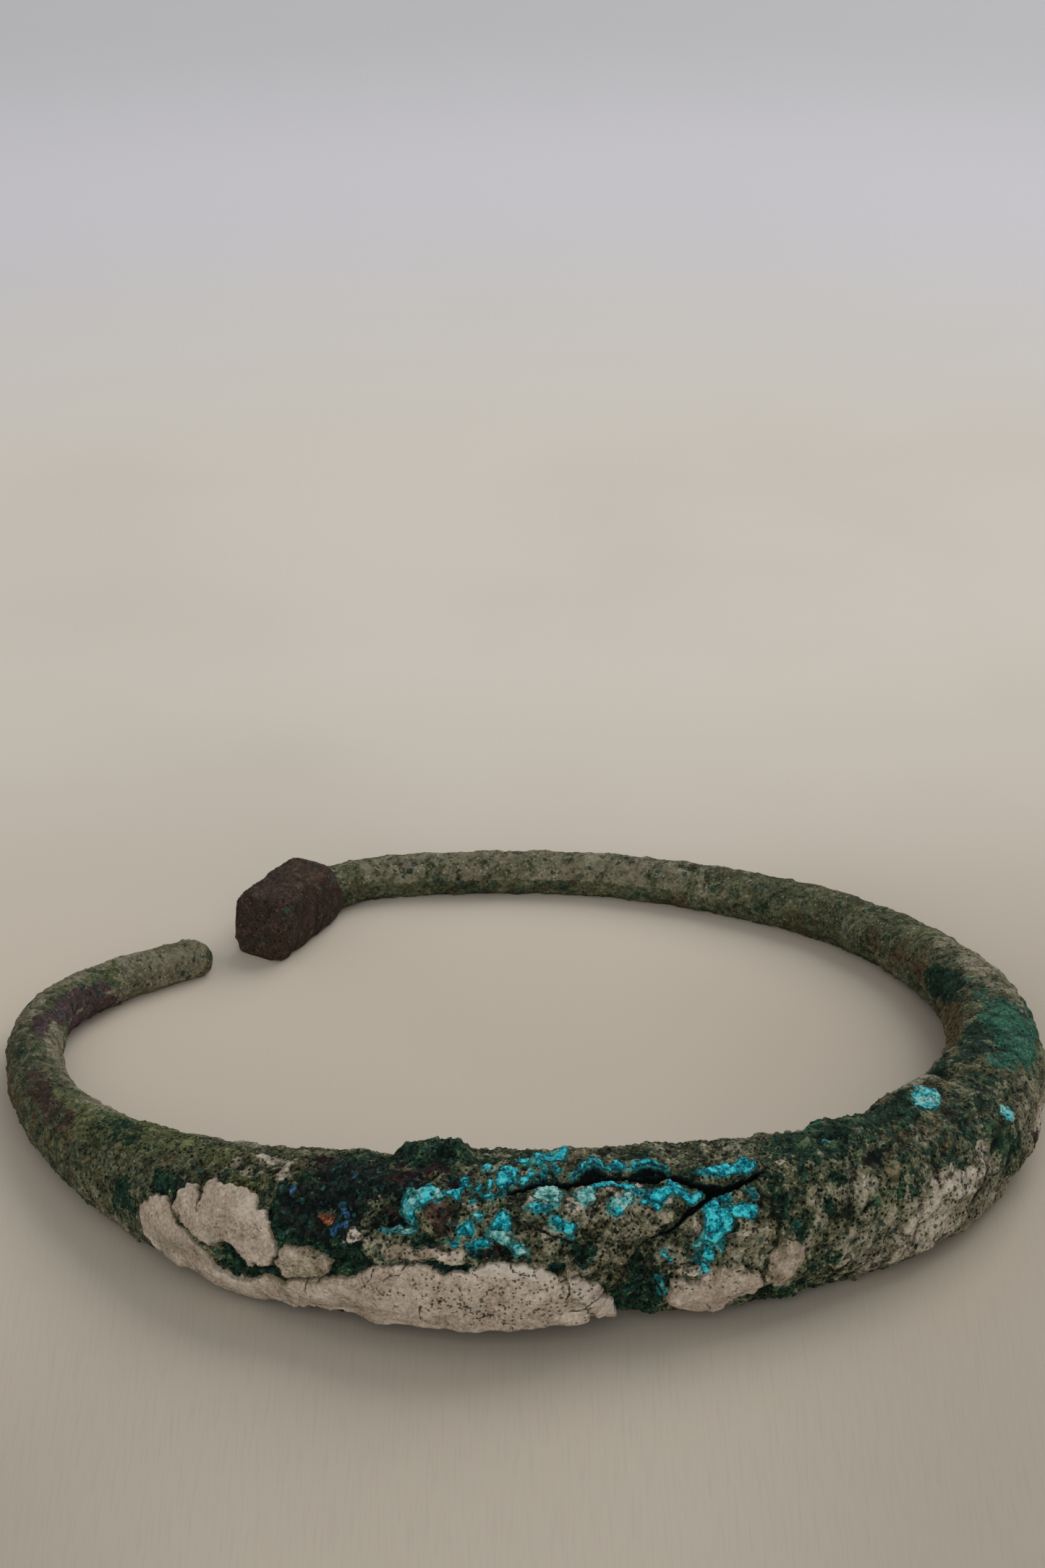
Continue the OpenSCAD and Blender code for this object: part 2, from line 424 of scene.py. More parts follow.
# Where each kind lies: distance along the hoop, distance round it, half length, half height
# in mm, and strength
ZONES: dict[Zone, str] = {
    Zone.MOSS: (
        "7.2,-2.7,3,2.2,1 -10.3,1,2,1.3,1 -18.4,-0.4,0.9,0.8,1 -16.3,-0.9,1.5,0.4,1 9.3,-1.6,0.5,1.8,1 "
        "17.6,4.6,0.9,2.4,0.65 21,-0.9,0.7,0.8,0.7 19.4,-2.1,0.6,0.8,0.6 17.6,-3.2,2,1,1 "
        "-15.4,3.2,0.7,2.2,1 -13.4,2,1.6,0.6,0.9 -24.6,2.8,1.5,0.8,0.8 -3.9,1.3,1.4,0.35,1 "
        "2.9,2,0.6,0.9,0.7 1.8,1.2,0.3,0.4,1 19.8,5.6,1.2,1.6,0.55 24.6,1.2,0.6,1.4,0.5 "
        "27.6,2.4,0.8,1.6,0.5 31.8,3.4,1.6,1,0.45 12.4,7.2,1.2,0.5,0.7 7.4,0.4,1.6,0.9,0.7 "
        "-28.5,0.6,1.6,1.4,0.6 -6,-8.6,16,2.6,0.9 19,-6.6,5,2.2,0.9 27,10.4,2.6,2.2,0.8 37,2,1.2,2.2,0.5 "
        "-2.4,10.6,1.6,0.9,0.7 48,7.6,6,1.2,0.8 42,9.6,4,1,0.8 9,9.6,2,0.8,0.5 30,8.4,5,1.8,0.8 "
        "20.4,8.4,2.4,1.4,0.7 -33,4.6,4,1.6,0.5 66,7.6,5,1.4,0.8 5.6,-4.6,3.6,1,1 -6,10.8,4,1.3,0.9 "
        "-10.6,10.2,2.6,1,0.85 22,4.6,0.8,0.7,0.5 26,5.2,0.9,0.8,0.5 34,4,10,4.6,0.4 24,6.6,2,1,0.6 "
        "-12.4,5,3.4,3.2,1 -18.2,-1.3,1.3,0.8,1 21.8,7,2.2,1.2,0.7 23.6,9.2,2.6,1.6,1 14.2,3,0.5,1.4,0.6 "
        "18.6,1.4,0.6,0.9,0.8 21,2.6,0.6,1.2,0.5 -4,5,0.8,0.8,0.7 -5,2.9,1.2,0.5,0.6 28.4,9.2,3.4,1.4,1 "
        "1.6,11,2.2,0.9,0.9 38.6,0.6,1.8,1.6,0.6 40,5.4,3.4,2.6,0.45"
    ),
    Zone.BARE: (
        "-12.4,4.5,3,2.7,1 -10,7.5,2.6,1.5,1 -7.2,4.5,0.6,0.8,1 -6.9,5.6,0.3,0.7,1 -1.5,2.3,1.2,0.4,1 "
        "8.6,6.5,1.2,0.5,0.9 -12.8,7.6,1.8,1.6,0.8 -7,7.2,1.1,1.2,1 -5.6,9,1.6,0.6,0.7"
    ),
    Zone.RED: (
        "-7,7.7,1.4,0.7,1 -3.9,7.6,0.5,0.7,1 -4.9,5.4,0.4,0.5,0.6 -1,2.7,0.6,0.2,1 -7.9,9.3,0.5,0.4,0.9 "
        "-7.4,4.6,0.4,0.6,0.7 -5.4,8.8,1.2,0.5,0.6 -13.9,8.9,0.9,0.9,0.5"
    ),
    Zone.BLUE: (
        "-11.2,5.1,0.25,0.3,1 -10.9,4.7,0.28,0.35,1 -10.5,4.3,0.28,0.3,1 -11.3,2.9,0.3,0.35,1 "
        "-10.9,3.3,0.3,0.3,1 -10.5,3.6,0.28,0.25,1 -15.1,5.5,0.2,0.5,0.9 -10.9,7.5,0.2,0.5,0.8 "
        "22.9,8,0.3,0.4,0.9"
    ),
    Zone.TEAL: (
        "52,4.6,6.5,2.2,0.9 46,5.6,3,1.6,0.6 61,5.6,3,1.2,0.5 58,1.6,4,1.2,0.6 -5.4,11.8,1.6,1.2,0.7 "
        "-8.6,9.7,1.4,0.25,0.9 24.6,11,1,1.4,0.8 1,9.4,0.5,0.8,0.7"
    ),
    Zone.OCHRE: (
        "58,10.2,8,1.8,0.9 -9.2,8.3,0.35,0.5,0.8 74,9,9,3,0.7 29,7.4,1.4,1.2,0.7 -52,0,5,1.6,0.5 "
        "84,0,8,3,0.6 108,1,7,3,0.6"
    ),
    Zone.RUST: "-12.1,3.95,0.72,0.56,1 -6,7.4,0.25,0.25,0.5",
    Zone.LEAF: (
        "-28,6.8,3,2,0.8 -22.6,6.6,2,1.6,0.7 -76,3,5.5,30,0.9 -37,5,8,3,0.8 -18.4,5,1.6,0.6,0.8 "
        "-12,7,1.6,0.8,0.6"
    ),
    Zone.VIOLET: "-65,4.9,5.5,0.9,1 -58,3.9,3,0.8,0.9 82,9,4,2,0.5 -66,-5,7,2,0.8",
    Zone.UMBER: "137.4,0,6.4,40,1 -4.4,4.9,0.9,1.3,0.75 -44,2.8,8,1.4,0.5",
    Zone.SOIL: (
        "-5.2,2.3,2.6,1,1 -9.4,2.8,1.3,1,1 15,1,1.5,1.4,1 1.2,3.6,1.2,0.6,0.8 3.4,1.6,1.6,1,0.7 "
        "9.8,1.2,1.7,1,0.8 11,0.1,1.4,0.6,1 18.2,0.6,1.1,1.2,0.9 20.6,2.6,0.9,1.4,0.9 22.6,3.1,1.2,1.2,1 "
        "24,-1.2,2.6,1.7,1 11.8,2.9,0.4,0.9,0.9 6.4,3,2.2,0.7,0.8 10.9,10.1,0.4,0.8,1 15,9.2,3,1,0.5 "
        "30.6,5.6,1,1.4,0.7 32.6,1,3,1.6,0.9 28.8,-2.4,2.6,1.6,0.9 34.4,0.4,2,2.4,0.9 24.2,3.9,0.9,1.1,1 "
        "29,-0.6,4.4,2.4,1 29,1.5,3,0.9,0.9 27.5,-3.6,4.4,1.8,1 45.6,-0.2,4.6,1.4,1 34,-3,6,2,1 "
        "43,1.6,3.6,2,0.9 36.6,9.8,3.4,1,0.8 46,7,2.6,0.8,0.5 -54,5.6,5,1.4,0.9 -66,1.9,9,1.2,0.9 "
        "-66,7.4,9,1.2,0.9 -43,6.4,8,1.4,0.9 -77,3,5,30,0.75 112,3,18,4,0.62 3.2,4.6,1.3,0.8,0.8 "
        "7.2,4.4,2.4,1,1 5.6,6.4,1.6,0.5,0.8 9.2,3.6,1.2,0.8,0.7 -22.6,9.2,2.2,1.2,0.8 "
        "-20.3,6.3,0.5,0.5,0.9 -18.9,5.9,0.5,0.5,0.9 -17.5,7.4,1.5,0.7,1 -16.1,6.2,0.4,0.9,1 "
        "66,3.4,8,1.6,0.9 -24,-5.4,6,2,0.7 12,-7,10,2,0.4 -31,-2.6,3,1.6,0.8"
    ),
    Zone.CHALK: (
        "3.7,6.2,0.6,0.9,1 6.8,5.6,1.2,0.3,1 5.5,6.1,0.5,0.3,0.8 12.05,3.2,0.22,0.8,0.9 "
        "14.8,1.95,0.9,0.2,0.8 10.9,10,0.3,0.5,0.8 11.2,6.5,0.5,0.15,0.7 -9.6,2.9,0.8,0.6,0.62 "
        "11.6,-0.1,0.9,0.4,0.7 -2.6,5.6,0.3,0.4,0.7 0.6,5.9,0.4,0.5,0.8 2.9,5.4,0.5,0.6,0.8 "
        "29,-0.8,3.6,1.8,0.6 27.5,-3.4,3.4,1.2,0.6 45.6,-0.2,3.6,1,0.6 24.2,3.8,0.6,0.7,0.6 "
        "-18.1,7.6,1.3,0.5,0.72 -16.2,6.7,0.45,0.8,0.72 10.2,4.9,0.5,0.2,0.8 1.6,6.4,0.3,0.9,0.7 "
        "9,8.9,0.8,0.15,0.6 0.6,8.6,0.3,0.3,0.7 -5.7,6.3,0.5,0.2,0.8 8.4,6.3,0.5,0.2,0.7 "
        "18.7,6.9,0.3,0.2,0.8 31,0.7,3.6,1.2,0.62 34.6,1.9,1.2,0.8,0.6 24.6,-3,1.2,0.8,0.6"
    ),
    Zone.LUMPY: "36,4,18,40,1 68,0,22,40,0.8 104,0,24,40,0.6 1,11.5,9,1.6,0.6 -46,0,20,40,0.5",
}


@dataclass(frozen=True)
class Mark:
    """An oval on the hoop's chart, in mm, and how much of something its middle has."""

    along: float
    around: float
    half_long: float
    half_high: float
    most: float

    @staticmethod
    def read(chart: str) -> list["Mark"]:
        """Marks from a chart's rows of five numbers."""
        return [Mark(*row) for row in read_rows(chart)]

    def away(self, places: Array) -> Array:
        """Distance of each chart place from the middle, 1 at the oval's edge."""
        x, y = places.T
        return np.hypot((x - self.along) / self.half_long, (y - self.around) / self.half_high)


@dataclass(frozen=True)
class Split:
    """A crack along an open line, or the closed mouth of a wide one. Millimetres."""

    line: str
    deep: float
    wide_from: float = 0.0
    wide_to: float = 0.0

    def depth(self, places: Array) -> Array:
        """Signed distance to the split's edge, positive inside it.

        Args:
            places: Chart places, one row each.

        Returns:
            One distance in mm for each place.
        """
        if self.wide_from > 0:
            return line_depth(places, read_rows(self.line), self.wide_from, self.wide_to)
        return outline_depth(places, read_rows(self.line))


@dataclass
class Skin:
    """Relief of the corroded skin over the smooth hoop."""

    form: HoopForm
    seed: int = 11
    lump_high: float = 0.2
    rolling_high: float = 0.07
    knob_high: float = 0.2
    clod_high: float = 0.1
    grain_high: float = 0.085
    crumb_high: float = 0.12
    pit_deep: float = 0.2
    knob_size: float = 2.3
    clod_size: float = 1.35
    grain_size: float = 0.6
    crumb_size: float = 0.95
    rolling_size: float = 2.6
    # How far and in what size the grains are bent out of shape
    bend_far: float = 0.25
    bend_size: float = 0.8
    crumb_shares: tuple[float, ...] = (1.0, 0.6, 0.36)
    pit_share: float = 0.09
    # Relief on the thinnest arm, and how much more where the hoop is thickest
    thin_relief: float = 0.42
    thick_relief: float = 0.58
    # How much calmer the crust is on bare metal, under lime and under salts, and the least left
    bare_calm: float = 0.45
    lime_calm: float = 0.8
    salt_calm: float = 0.45
    least_relief: float = 0.12
    mean_high: float = 0.04
    # Lumps as waves: turns along and round in a sine, the same in a cosine, and share
    lump_waves: tuple[tuple[float, ...], ...] = ((41, 5, 27, -4, 0.9), (67, -7, 53, 6, 0.6))
    # Humps, and hollows where the last number is negative, on the thick part of the hoop
    thick_reach: Place = (-29.0, 50.0)
    marks: str = (
        "-20.5,1.5,6.5,4,0.2 -3,-6.9,25,3.1,-0.72 2.5,-5.4,6,2.4,-0.45 -24,-5,5,2.4,-0.4 "
        "43,-2.6,4,2.4,0.35 -7.6,12,2.3,2,0.3 32,-4.6,10,3.6,0.5 24,10.4,2.6,1.6,-0.2 -3,-1,9,4,0.12 "
        "13.5,-1.8,5,2.6,0.1 -18.5,-0.3,1.2,1.1,-0.5 -9.8,1,1.6,1.2,-0.35 7.2,-2,2.6,3.4,-0.6 "
        "6,4.9,6.6,2.8,0.55 -5.6,6.2,2.4,1.6,0.32 -12.8,4.6,3.6,3.4,-0.34 -7,4.2,1,0.7,-0.75 "
        "-6.9,5.4,0.45,1.1,-0.5 -4.3,4.5,1.2,1.2,-0.25 -1.4,2.4,1.5,0.6,-0.7 -6,12.5,3.6,3,0.3 "
        "-4.8,11.4,1.3,1,0.3 -1.6,12.4,2.6,2.8,-0.45 -10.2,11.8,1.2,2.4,-0.4 26,10,3,3,0.24 36,11,5,4,0.6 "
        "44,9,4,4,0.42 -4.2,7.6,0.9,0.9,-0.3 9,9,2.2,1,0.2 5.2,9.2,1.6,0.9,0.25 12.9,3.2,1.6,2,0.22 "
        "15,7,2.6,1,0.2 -0.9,8,0.9,0.9,0.15 13.95,4.45,0.4,0.5,-0.7"
    )
    splits: tuple[Split, ...] = (
        # The long crack under the top, upper lip and then lower lip
        Split(
            "-0.6,7.1 0.4,7.6 1.1,7.9 1.9,8.15 2.7,7.9 3.5,7.95 4.4,7.95 5.3,7.9 6.2,7.8 7.1,7.7 7.9,7.65 "
            "8.8,7.5 9.7,7.4 10.6,7.3 11.4,7.25 12,6.9 12.5,6.45 13.2,6.1 14.1,5.9 15.2,6 16.1,6.1 "
            "16.8,6.35 17.9,6.95 17.1,6.25 16.5,5.85 15.7,5.6 14.8,5.35 13.9,5.05 13.1,4.95 12.9,5.6 "
            "12.3,5.9 11.8,6.15 11.4,6.45 10.7,6.6 10.2,6.4 9.7,6.2 9.2,6.3 8.4,6.6 7.7,6.75 6.8,6.8 "
            "5.4,6.9 4.1,7 3.2,7.25 2.5,7.4 1.8,7.5 1.1,7.3 0.4,7.05 -0.5,6.85",
            1.35,
        ),
        # Shallow hollows above it
        Split("3.6,7.9 4,8.25 4.6,8.5 5.4,8.55 6,8.3 6.3,7.8", 0.6),
        Split("8,7.5 8.1,8 8.9,8.3 9.8,8.2 10.4,7.9 10.8,7.3", 0.55),
        Split("2.1,9.7 2.3,9.1 2.45,8.5 2.5,7.8", 0.6, 0.1, 0.34),
        Split(
            "13.1,4.95 12.5,4.45 11.8,4 11.2,3.45 10.5,3.1 10,2.7 9.3,2.5 8.6,2.3 8,2.05 7.7,1.85",
            0.9, 0.5, 0.1,
        ),
        Split("15.2,5.45 15.6,4.8 15.8,4.1 16.3,3.5", 0.5, 0.18, 0.12),
        Split("15.7,5.7 16.3,5.55 16.9,5.4", 0.45, 0.22, 0.06),
        Split("16.3,3.5 16.6,2.5 16.7,1.6 16.3,0.7 16.2,-0.2", 0.3, 0.09, 0.12),
        Split("-0.6,5.2 0,4.85 0.7,4.35 1.3,3.8 1.95,3.35 2.5,2.9", 0.65, 0.14, 0.26),
        Split("-0.1,2.05 0.6,1.78 1.3,1.6 1.9,1.15", 0.4, 0.14, 0.24),
        Split("2.5,2.9 2.9,2.4 3.2,1.4 4.1,1.3 5,0.75", 0.3, 0.14, 0.08),
        Split("3.1,2.2 3.9,2.3 4.6,2 5.4,2", 0.25, 0.08, 0.12),
        Split("5.2,0.2 6.3,0.3 7.4,0.1 8.5,-0.3 9.2,-1 9.8,-2.2", 0.5, 0.08, 0.3),
        Split("-1.9,6.3 -1.2,6.5 -0.6,6.75 -0.3,7.05", 0.4, 0.14, 0.22),
        Split("-7.4,1.25 -6.9,1.38 -6.1,1.55", 0.5, 0.14, 0.22),
        Split("-5.2,1.6 -4.4,1.3 -3.7,1.15 -2.8,1.3", 0.6, 0.12, 0.34),
        Split("-17.6,-0.75 -16.2,-0.8 -15.4,-0.45 -14.9,-0.35", 0.6, 0.45, 0.35),
        Split("-15.1,-0.2 -14.6,-0.8 -13.9,-0.9", 0.4, 0.2, 0.06),
        Split("-13.9,-0.8 -12.6,-0.55 -11.6,-0.3 -10.7,-0.15", 0.4, 0.12, 0.14),
        Split("-22.9,0.6 -22,0.45 -20.8,0 -19.4,-0.4", 0.24, 0.06, 0.26),
        Split("-21.3,3.4 -21.35,2.6 -21,1.9", 0.3, 0.26, 0.06),
    )
    # Part of the chart that the cracks lie in, and the depth given to places outside it
    split_along: Place = (-24.0, 19.0)
    split_around: Place = (-3.0, 11.0)
    uncut: float = -0.6
    # How far the cracks' edges wander, and in what size of waves
    ragged: float = 0.12
    ragged_size: float = 0.8
    # Width of a crack's slanting wall, and how much of it lies outside the edge, in mm
    wall_wide: float = 0.2
    wall_out: float = 0.05
    # Shifts in mm of the noises behind the two waves that move chart places
    wave_shifts: Place = (3.1, 71.7)
    # Sizes of the waves that break up the zones' edges, how far they do as a share of the
    # zone's smaller half, and the most they do in mm
    zone_waves: tuple[float, ...] = (0.9, 2.4, 6.0)
    zone_move: float = 0.5
    most_move: float = 2.4
    # Where a zone ends, as a share of its half length and height
    zone_end: float = 1.5

    def __post_init__(self) -> None:
        """Draws the noise and reads the humps."""
        self.grain = Grain(self.seed)
        self.humps = Mark.read(self.marks)

    def broad(self, at: Spots) -> Array:
        """Lumps, humps and hollows larger than the crust's grain, in mm.

        Args:
            at: The places.

        Returns:
            Height at each place.
        """
        s, t = np.radians(at.along), at.turn
        lumps = np.zeros(len(s))
        for a, b, c, d, share in self.lump_waves:
            lumps += share * (np.sin(a * s + b * t) * np.cos(c * s + d * t))
        thick = at.wide / self.form.full_thick
        rise = self.lump_high * thick * lumps
        near = between(at.along, self.thick_reach)
        for mark in self.humps:
            ds = (at.along - mark.along) / mark.half_long
            dv = (at.around - mark.around) / mark.half_high
            left = np.maximum(1 - ds * ds - dv * dv, 0)
            rise += np.where(near, mark.most * ease(left * 1.5), 0)
        return rise

    def waves(self, at: Spots, size: float) -> Array:
        """Two free waves at each place, from about -1 to 1, to move chart places by.

        Args:
            at: The places.
            size: Size of the largest waves in mm.

        Returns:
            A move along the hoop and one round it for each place.
        """
        pair = [self.grain.fractal(at.base + shift, size, 4, 0.6) for shift in self.wave_shifts]
        return np.stack(pair, axis=1)

    def wobble(self, at: Spots, far: float, size: float) -> Array:
        """Chart places moved about, so that edges drawn on them come out ragged.

        Args:
            at: The places.
            far: Largest move in mm.
            size: Size of the largest waves in mm.

        Returns:
            The moved chart places.
        """
        return at.chart + far * self.waves(at, size)

    def split_depth(self, at: Spots) -> tuple[Array, Array]:
        """Cracks at each place.

        Args:
            at: The places.

        Returns:
            Signed distance to the nearest crack's edge, positive inside, and how deep
            the crack is cut, both in mm.
        """
        edge = np.full(len(at.along), self.uncut)
        cut = np.zeros(len(at.along))
        near = np.flatnonzero(between(at.along, self.split_along) & between(at.around, self.split_around))
        if len(near) == 0:
            return edge, cut
        moved = self.wobble(at.only(near), self.ragged, self.ragged_size)
        for split in self.splits:
            inside = split.depth(moved)
            edge[near] = np.maximum(edge[near], inside)
            wall = ease((inside + self.wall_out) / self.wall_wide)
            cut[near] = np.maximum(cut[near], split.deep * wall)
        return edge, cut

    def zones(self, at: Spots) -> dict[Zone, Array]:
        """Strength of each kind of corrosion at each place, from 0 to 1.

        Args:
            at: The places.

        Returns:
            One strength for each place, for each kind.
        """
        waves = [self.waves(at, size) for size in self.zone_waves]
        found = {}
        for zone, chart in ZONES.items():
            strength = np.zeros(len(at.along))
            for mark in Mark.read(chart):
                small = min(mark.half_long, mark.half_high)
                which = int(np.searchsorted(self.zone_waves[:-1], small))
                moved = at.chart + min(self.zone_move * small, self.most_move) * waves[which]
                strength = np.maximum(strength, mark.most * ease(self.zone_end - mark.away(moved)))
            found[zone] = strength
        return found

    def crust(self, at: Spots, zones: dict[Zone, Array], lime: Array, salt: Array) -> tuple[Array, Array]:
        """The crust's own clods, grains and pits, with no slope of its own over a few mm.

        Args:
            at: The places.
            zones: Kinds of corrosion there.
            lime: Share of the place that a lime plate covers.
            salt: Share of the place that copper salts cover.

        Returns:
            Heights in mm, and a value from 0 to 1 that each grain has for itself.
        """
        p, thick = at.base, self.thin_relief + self.thick_relief * at.wide / self.form.full_thick
        bent = p + self.bend_far * self.grain.fractal(p + 40.0, self.bend_size, 2, 0.6)[:, None]
        rolling = self.grain.fractal(p, self.rolling_size, 2, 0.5)
        far, _, own = self.grain.cells(bent, self.clod_size)
        clod = dome(far, 0.66, -0.8) * (0.4 + 1.2 * own)
        near, _, other = self.grain.cells(bent + 9.0, self.grain_size)
        grain = dome(near, 0.66, -0.8) * (0.4 + 1.2 * other)
        wide, _, knobby = self.grain.cells(bent + 55.0, self.knob_size)
        knob = dome(wide, 0.72, -0.6) * (0.3 + 1.1 * knobby)
        crumb = np.zeros(len(p))
        for turn, share in enumerate(self.crumb_shares):
            wave = self.grain.smooth(bent + 23.0 + 7.0 * turn, self.crumb_size / 2**turn)
            crumb += share * (3.2 * np.abs(wave) - 0.9)
        pit = ease((0.5 - near) / 0.3) * (other < self.pit_share)
        lumpy, bare = zones[Zone.LUMPY], zones[Zone.BARE]
        high = self.rolling_high * rolling + self.clod_high * clod * (0.7 + 0.5 * lumpy)
        high += self.knob_high * (knob - 0.3) * lumpy
        high += self.grain_high * grain + self.crumb_high * crumb * (0.75 + 0.35 * zones[Zone.MOSS])
        high -= self.pit_deep * pit
        kept = 1 - self.bare_calm * bare - self.lime_calm * lime - self.salt_calm * salt
        kept = np.maximum(kept, self.least_relief)
        return (high - self.mean_high) * thick * kept, 0.35 * own + 0.65 * other


@dataclass(frozen=True)
class Plate:
    """One broken plate of crust, by its outline on the hoop's chart."""

    outline: str
    thick: float
    pale: float

    @property
    def corners(self) -> Array:
        """Corners of the outline, one row each."""
        return np.array(read_rows(self.outline))


@dataclass
class CrustLayer(ABC):
    """A layer of crust in broken plates, each with a ragged edge and a real thickness."""

    form: HoopForm
    skin: Skin
    plates: tuple[Plate, ...]
    name: str
    slot: str
    ragged: float
    ragged_size: float
    step: float
    # Share of its thickness that a plate has at its edge, and how far in it has all of it
    edge_keep: float = 0.75
    edge_round: float = 0.16
    # How deep the shells sink into the hoop
    sunk: float = 0.3
    # How much the thickness varies, over what size, and the share of it that is built
    uneven: float = 0.5
    uneven_size: float = 2.6
    thin: float = 1.0
    sharp_angle: float = 52.0
    # Gap left to a crack's edge, and room round the plates' corners, in mm
    crack_gap: float = 0.02
    room: float = 1.4
    grid_room: float = 0.6
    # Least slope and most move of a corner towards the true edge, the move in grid steps
    least_slope: float = 0.2
    most_move: float = 0.6
    # How far outside its edge the layer starts to cover, and over what distance it does, in mm
    cover_out: float = 0.1
    cover_wide: float = 0.4

    def reach(self, at: Spots) -> tuple[Array, Array, Array]:
        """How the layer's plates lie over some places.

        Args:
            at: The places.

        Returns:
            Signed distance to the nearest plate's edge, positive on a plate, the
            thickness there and the paleness there.
        """
        depth = np.full(len(at.along), OUTSIDE)
        thick = np.zeros(len(at.along))
        pale = np.zeros(len(at.along))
        moved = self.skin.wobble(at, self.ragged, self.ragged_size)
        for plate in self.plates:
            corners = plate.corners
            limits = corners.min(0) - self.room, corners.max(0) + self.room
            near = np.flatnonzero(np.all(between(moved, limits), axis=1))
            if len(near) == 0:
                continue
            inside = outline_depth(moved[near], corners)
            # A later plate lies over an earlier one
            over = near[(inside > 0) | (inside > depth[near])]
            depth[near] = np.maximum(depth[near], inside)
            thick[over] = plate.thick
            pale[over] = plate.pale
        return depth, thick, pale

    @abstractmethod
    def texture(self, at: Spots) -> Array:
        """The layer's own fine relief, in mm."""

    def ground(self, at: Spots) -> Array:
        """Height of what the layer lies on, in mm."""
        return self.skin.broad(at)

    def extras(self, at: Spots) -> dict[str, Array]:
        """More attributes for the layer's finish."""
        return {}

    def cover(self, depth: Array) -> Array:
        """Share of a place that the layer covers, from the distance to its edge."""
        return ease((depth + self.cover_out) / self.cover_wide)

    @staticmethod
    def kept_cells(depth: Array) -> Array:
        """Grid cells that the layer fills, with no two meeting at a corner only.

        Args:
            depth: Signed distance to the nearest plate's edge at each grid corner.

        Returns:
            Whether each cell is filled.
        """
        middle = (depth[:-1, :-1] + depth[1:, :-1] + depth[1:, 1:] + depth[:-1, 1:]) / 4
        keep = middle > 0
        keep[0, :] = keep[-1, :] = keep[:, 0] = keep[:, -1] = False
        for _ in range(3):
            a, b = keep[:-1, :-1], keep[1:, 1:]
            c, d = keep[1:, :-1], keep[:-1, 1:]
            rising = a & b & ~c & ~d
            falling = c & d & ~a & ~b
            keep[1:, :-1] |= rising
            keep[:-1, :-1] |= falling
        return keep

    def grid(self) -> tuple[Array, Array, Array, Array, Array]:
        """A grid over the plates, its corners on the border moved onto the plates' true edges.

        Returns:
            Distance along the hoop and round it at each corner, which cells are filled,
            which corners they use, and which of those lie on the border.
        """
        corners = np.concatenate([plate.corners for plate in self.plates])
        low, high = corners.min(0) - self.grid_room, corners.max(0) + self.grid_room
        s = np.arange(low[0], high[0], self.step)
        v = np.arange(low[1], high[1], self.step)
        grid_s, grid_v = np.meshgrid(s, v, indexing="ij")
        at = self.form.charted(grid_s.ravel(), grid_v.ravel())
        depth, _, _ = self.reach(at)
        edge, _ = self.skin.split_depth(at)
        depth = np.minimum(depth, -edge - self.crack_gap).reshape(grid_s.shape)
        keep = self.kept_cells(depth)
        slope_s, slope_v = np.gradient(depth, self.step)
        steep = np.maximum(slope_s**2 + slope_v**2, self.least_slope)
        around = np.zeros((4, *depth.shape), bool)
        around[0, :-1, :-1] = around[1, 1:, :-1] = around[2, 1:, 1:] = around[3, :-1, 1:] = keep
        used, whole = around.any(0), around.all(0)
        border = used & ~whole
        most = self.most_move * self.step
        move_s = np.clip(-depth * slope_s / steep, -most, most)
        move_v = np.clip(-depth * slope_v / steep, -most, most)
        grid_s = np.where(border, grid_s + move_s, grid_s)
        grid_v = np.where(border, grid_v + move_v, grid_v)
        return grid_s, grid_v, keep, used, border

    def build(self) -> bpy.types.Object:
        """Makes the layer as closed shells that sink a little into the hoop.

        Returns:
            The piece, with the numbers that its finish reads.
        """
        grid_s, grid_v, keep, used, border = self.grid()
        number = np.full(used.shape, -1)
        number[used] = np.arange(used.sum())
        top = self.form.charted(grid_s[used], grid_v[used])
        depth, thick, pale = self.reach(top)
        depth = np.where(border[used], 0.0, np.maximum(depth, 0.0))
        fine = self.texture(top)
        ground = self.ground(top)
        shape = mix(self.edge_keep, 1.0, ease(depth / self.edge_round))
        shape *= 1 + self.uneven * self.skin.grain.fractal(top.base + 91.0, self.uneven_size, 3, 0.6)
        upper = self.form.raised(top, ground + self.thin * thick * shape + fine)
        lower = self.form.raised(top, ground - self.sunk)
        faces = self.shell_faces(number, keep, int(used.sum()))
        mesh = bpy.data.meshes.new(self.name)
        mesh.from_pydata((np.concatenate([upper, lower]) * MM).tolist(), [], faces)
        mesh.shade_smooth()
        mesh.set_sharp_from_angle(angle=math.radians(self.sharp_angle))
        twice = {"depth": depth, "pale": pale, "relief": fine, **self.extras(top)}
        for label, values in twice.items():
            add_values(mesh, label, np.concatenate([values, values]))
        piece = bpy.data.objects.new(self.name, mesh)
        bpy.context.scene.collection.objects.link(piece)
        return piece

    @staticmethod
    def shell_faces(number: Array, keep: Array, count: int) -> list[list[int]]:
        """Faces of the closed shells over a grid.

        Args:
            number: Vertex number of each grid corner.
            keep: Which grid cells are filled.
            count: Number of vertices on the upper side.

        Returns:
            Quads of the upper side, the lower side and the rim.
        """
        i, j = np.nonzero(keep)
        loop = [(i, j), (i + 1, j), (i + 1, j + 1), (i, j + 1)]
        ring = np.stack([number[a, b] for a, b in loop], axis=1)
        parts = [ring, ring[:, ::-1] + count]
        beside = [(i, j - 1), (i + 1, j), (i, j + 1), (i - 1, j)]
        for k, (a, b) in enumerate(beside):
            bare = ~keep[a, b]
            start, end = ring[bare, k], ring[bare, (k + 1) % 4]
            parts.append(np.stack([end, start, start + count, end + count], axis=1))
        return np.concatenate(parts).tolist()


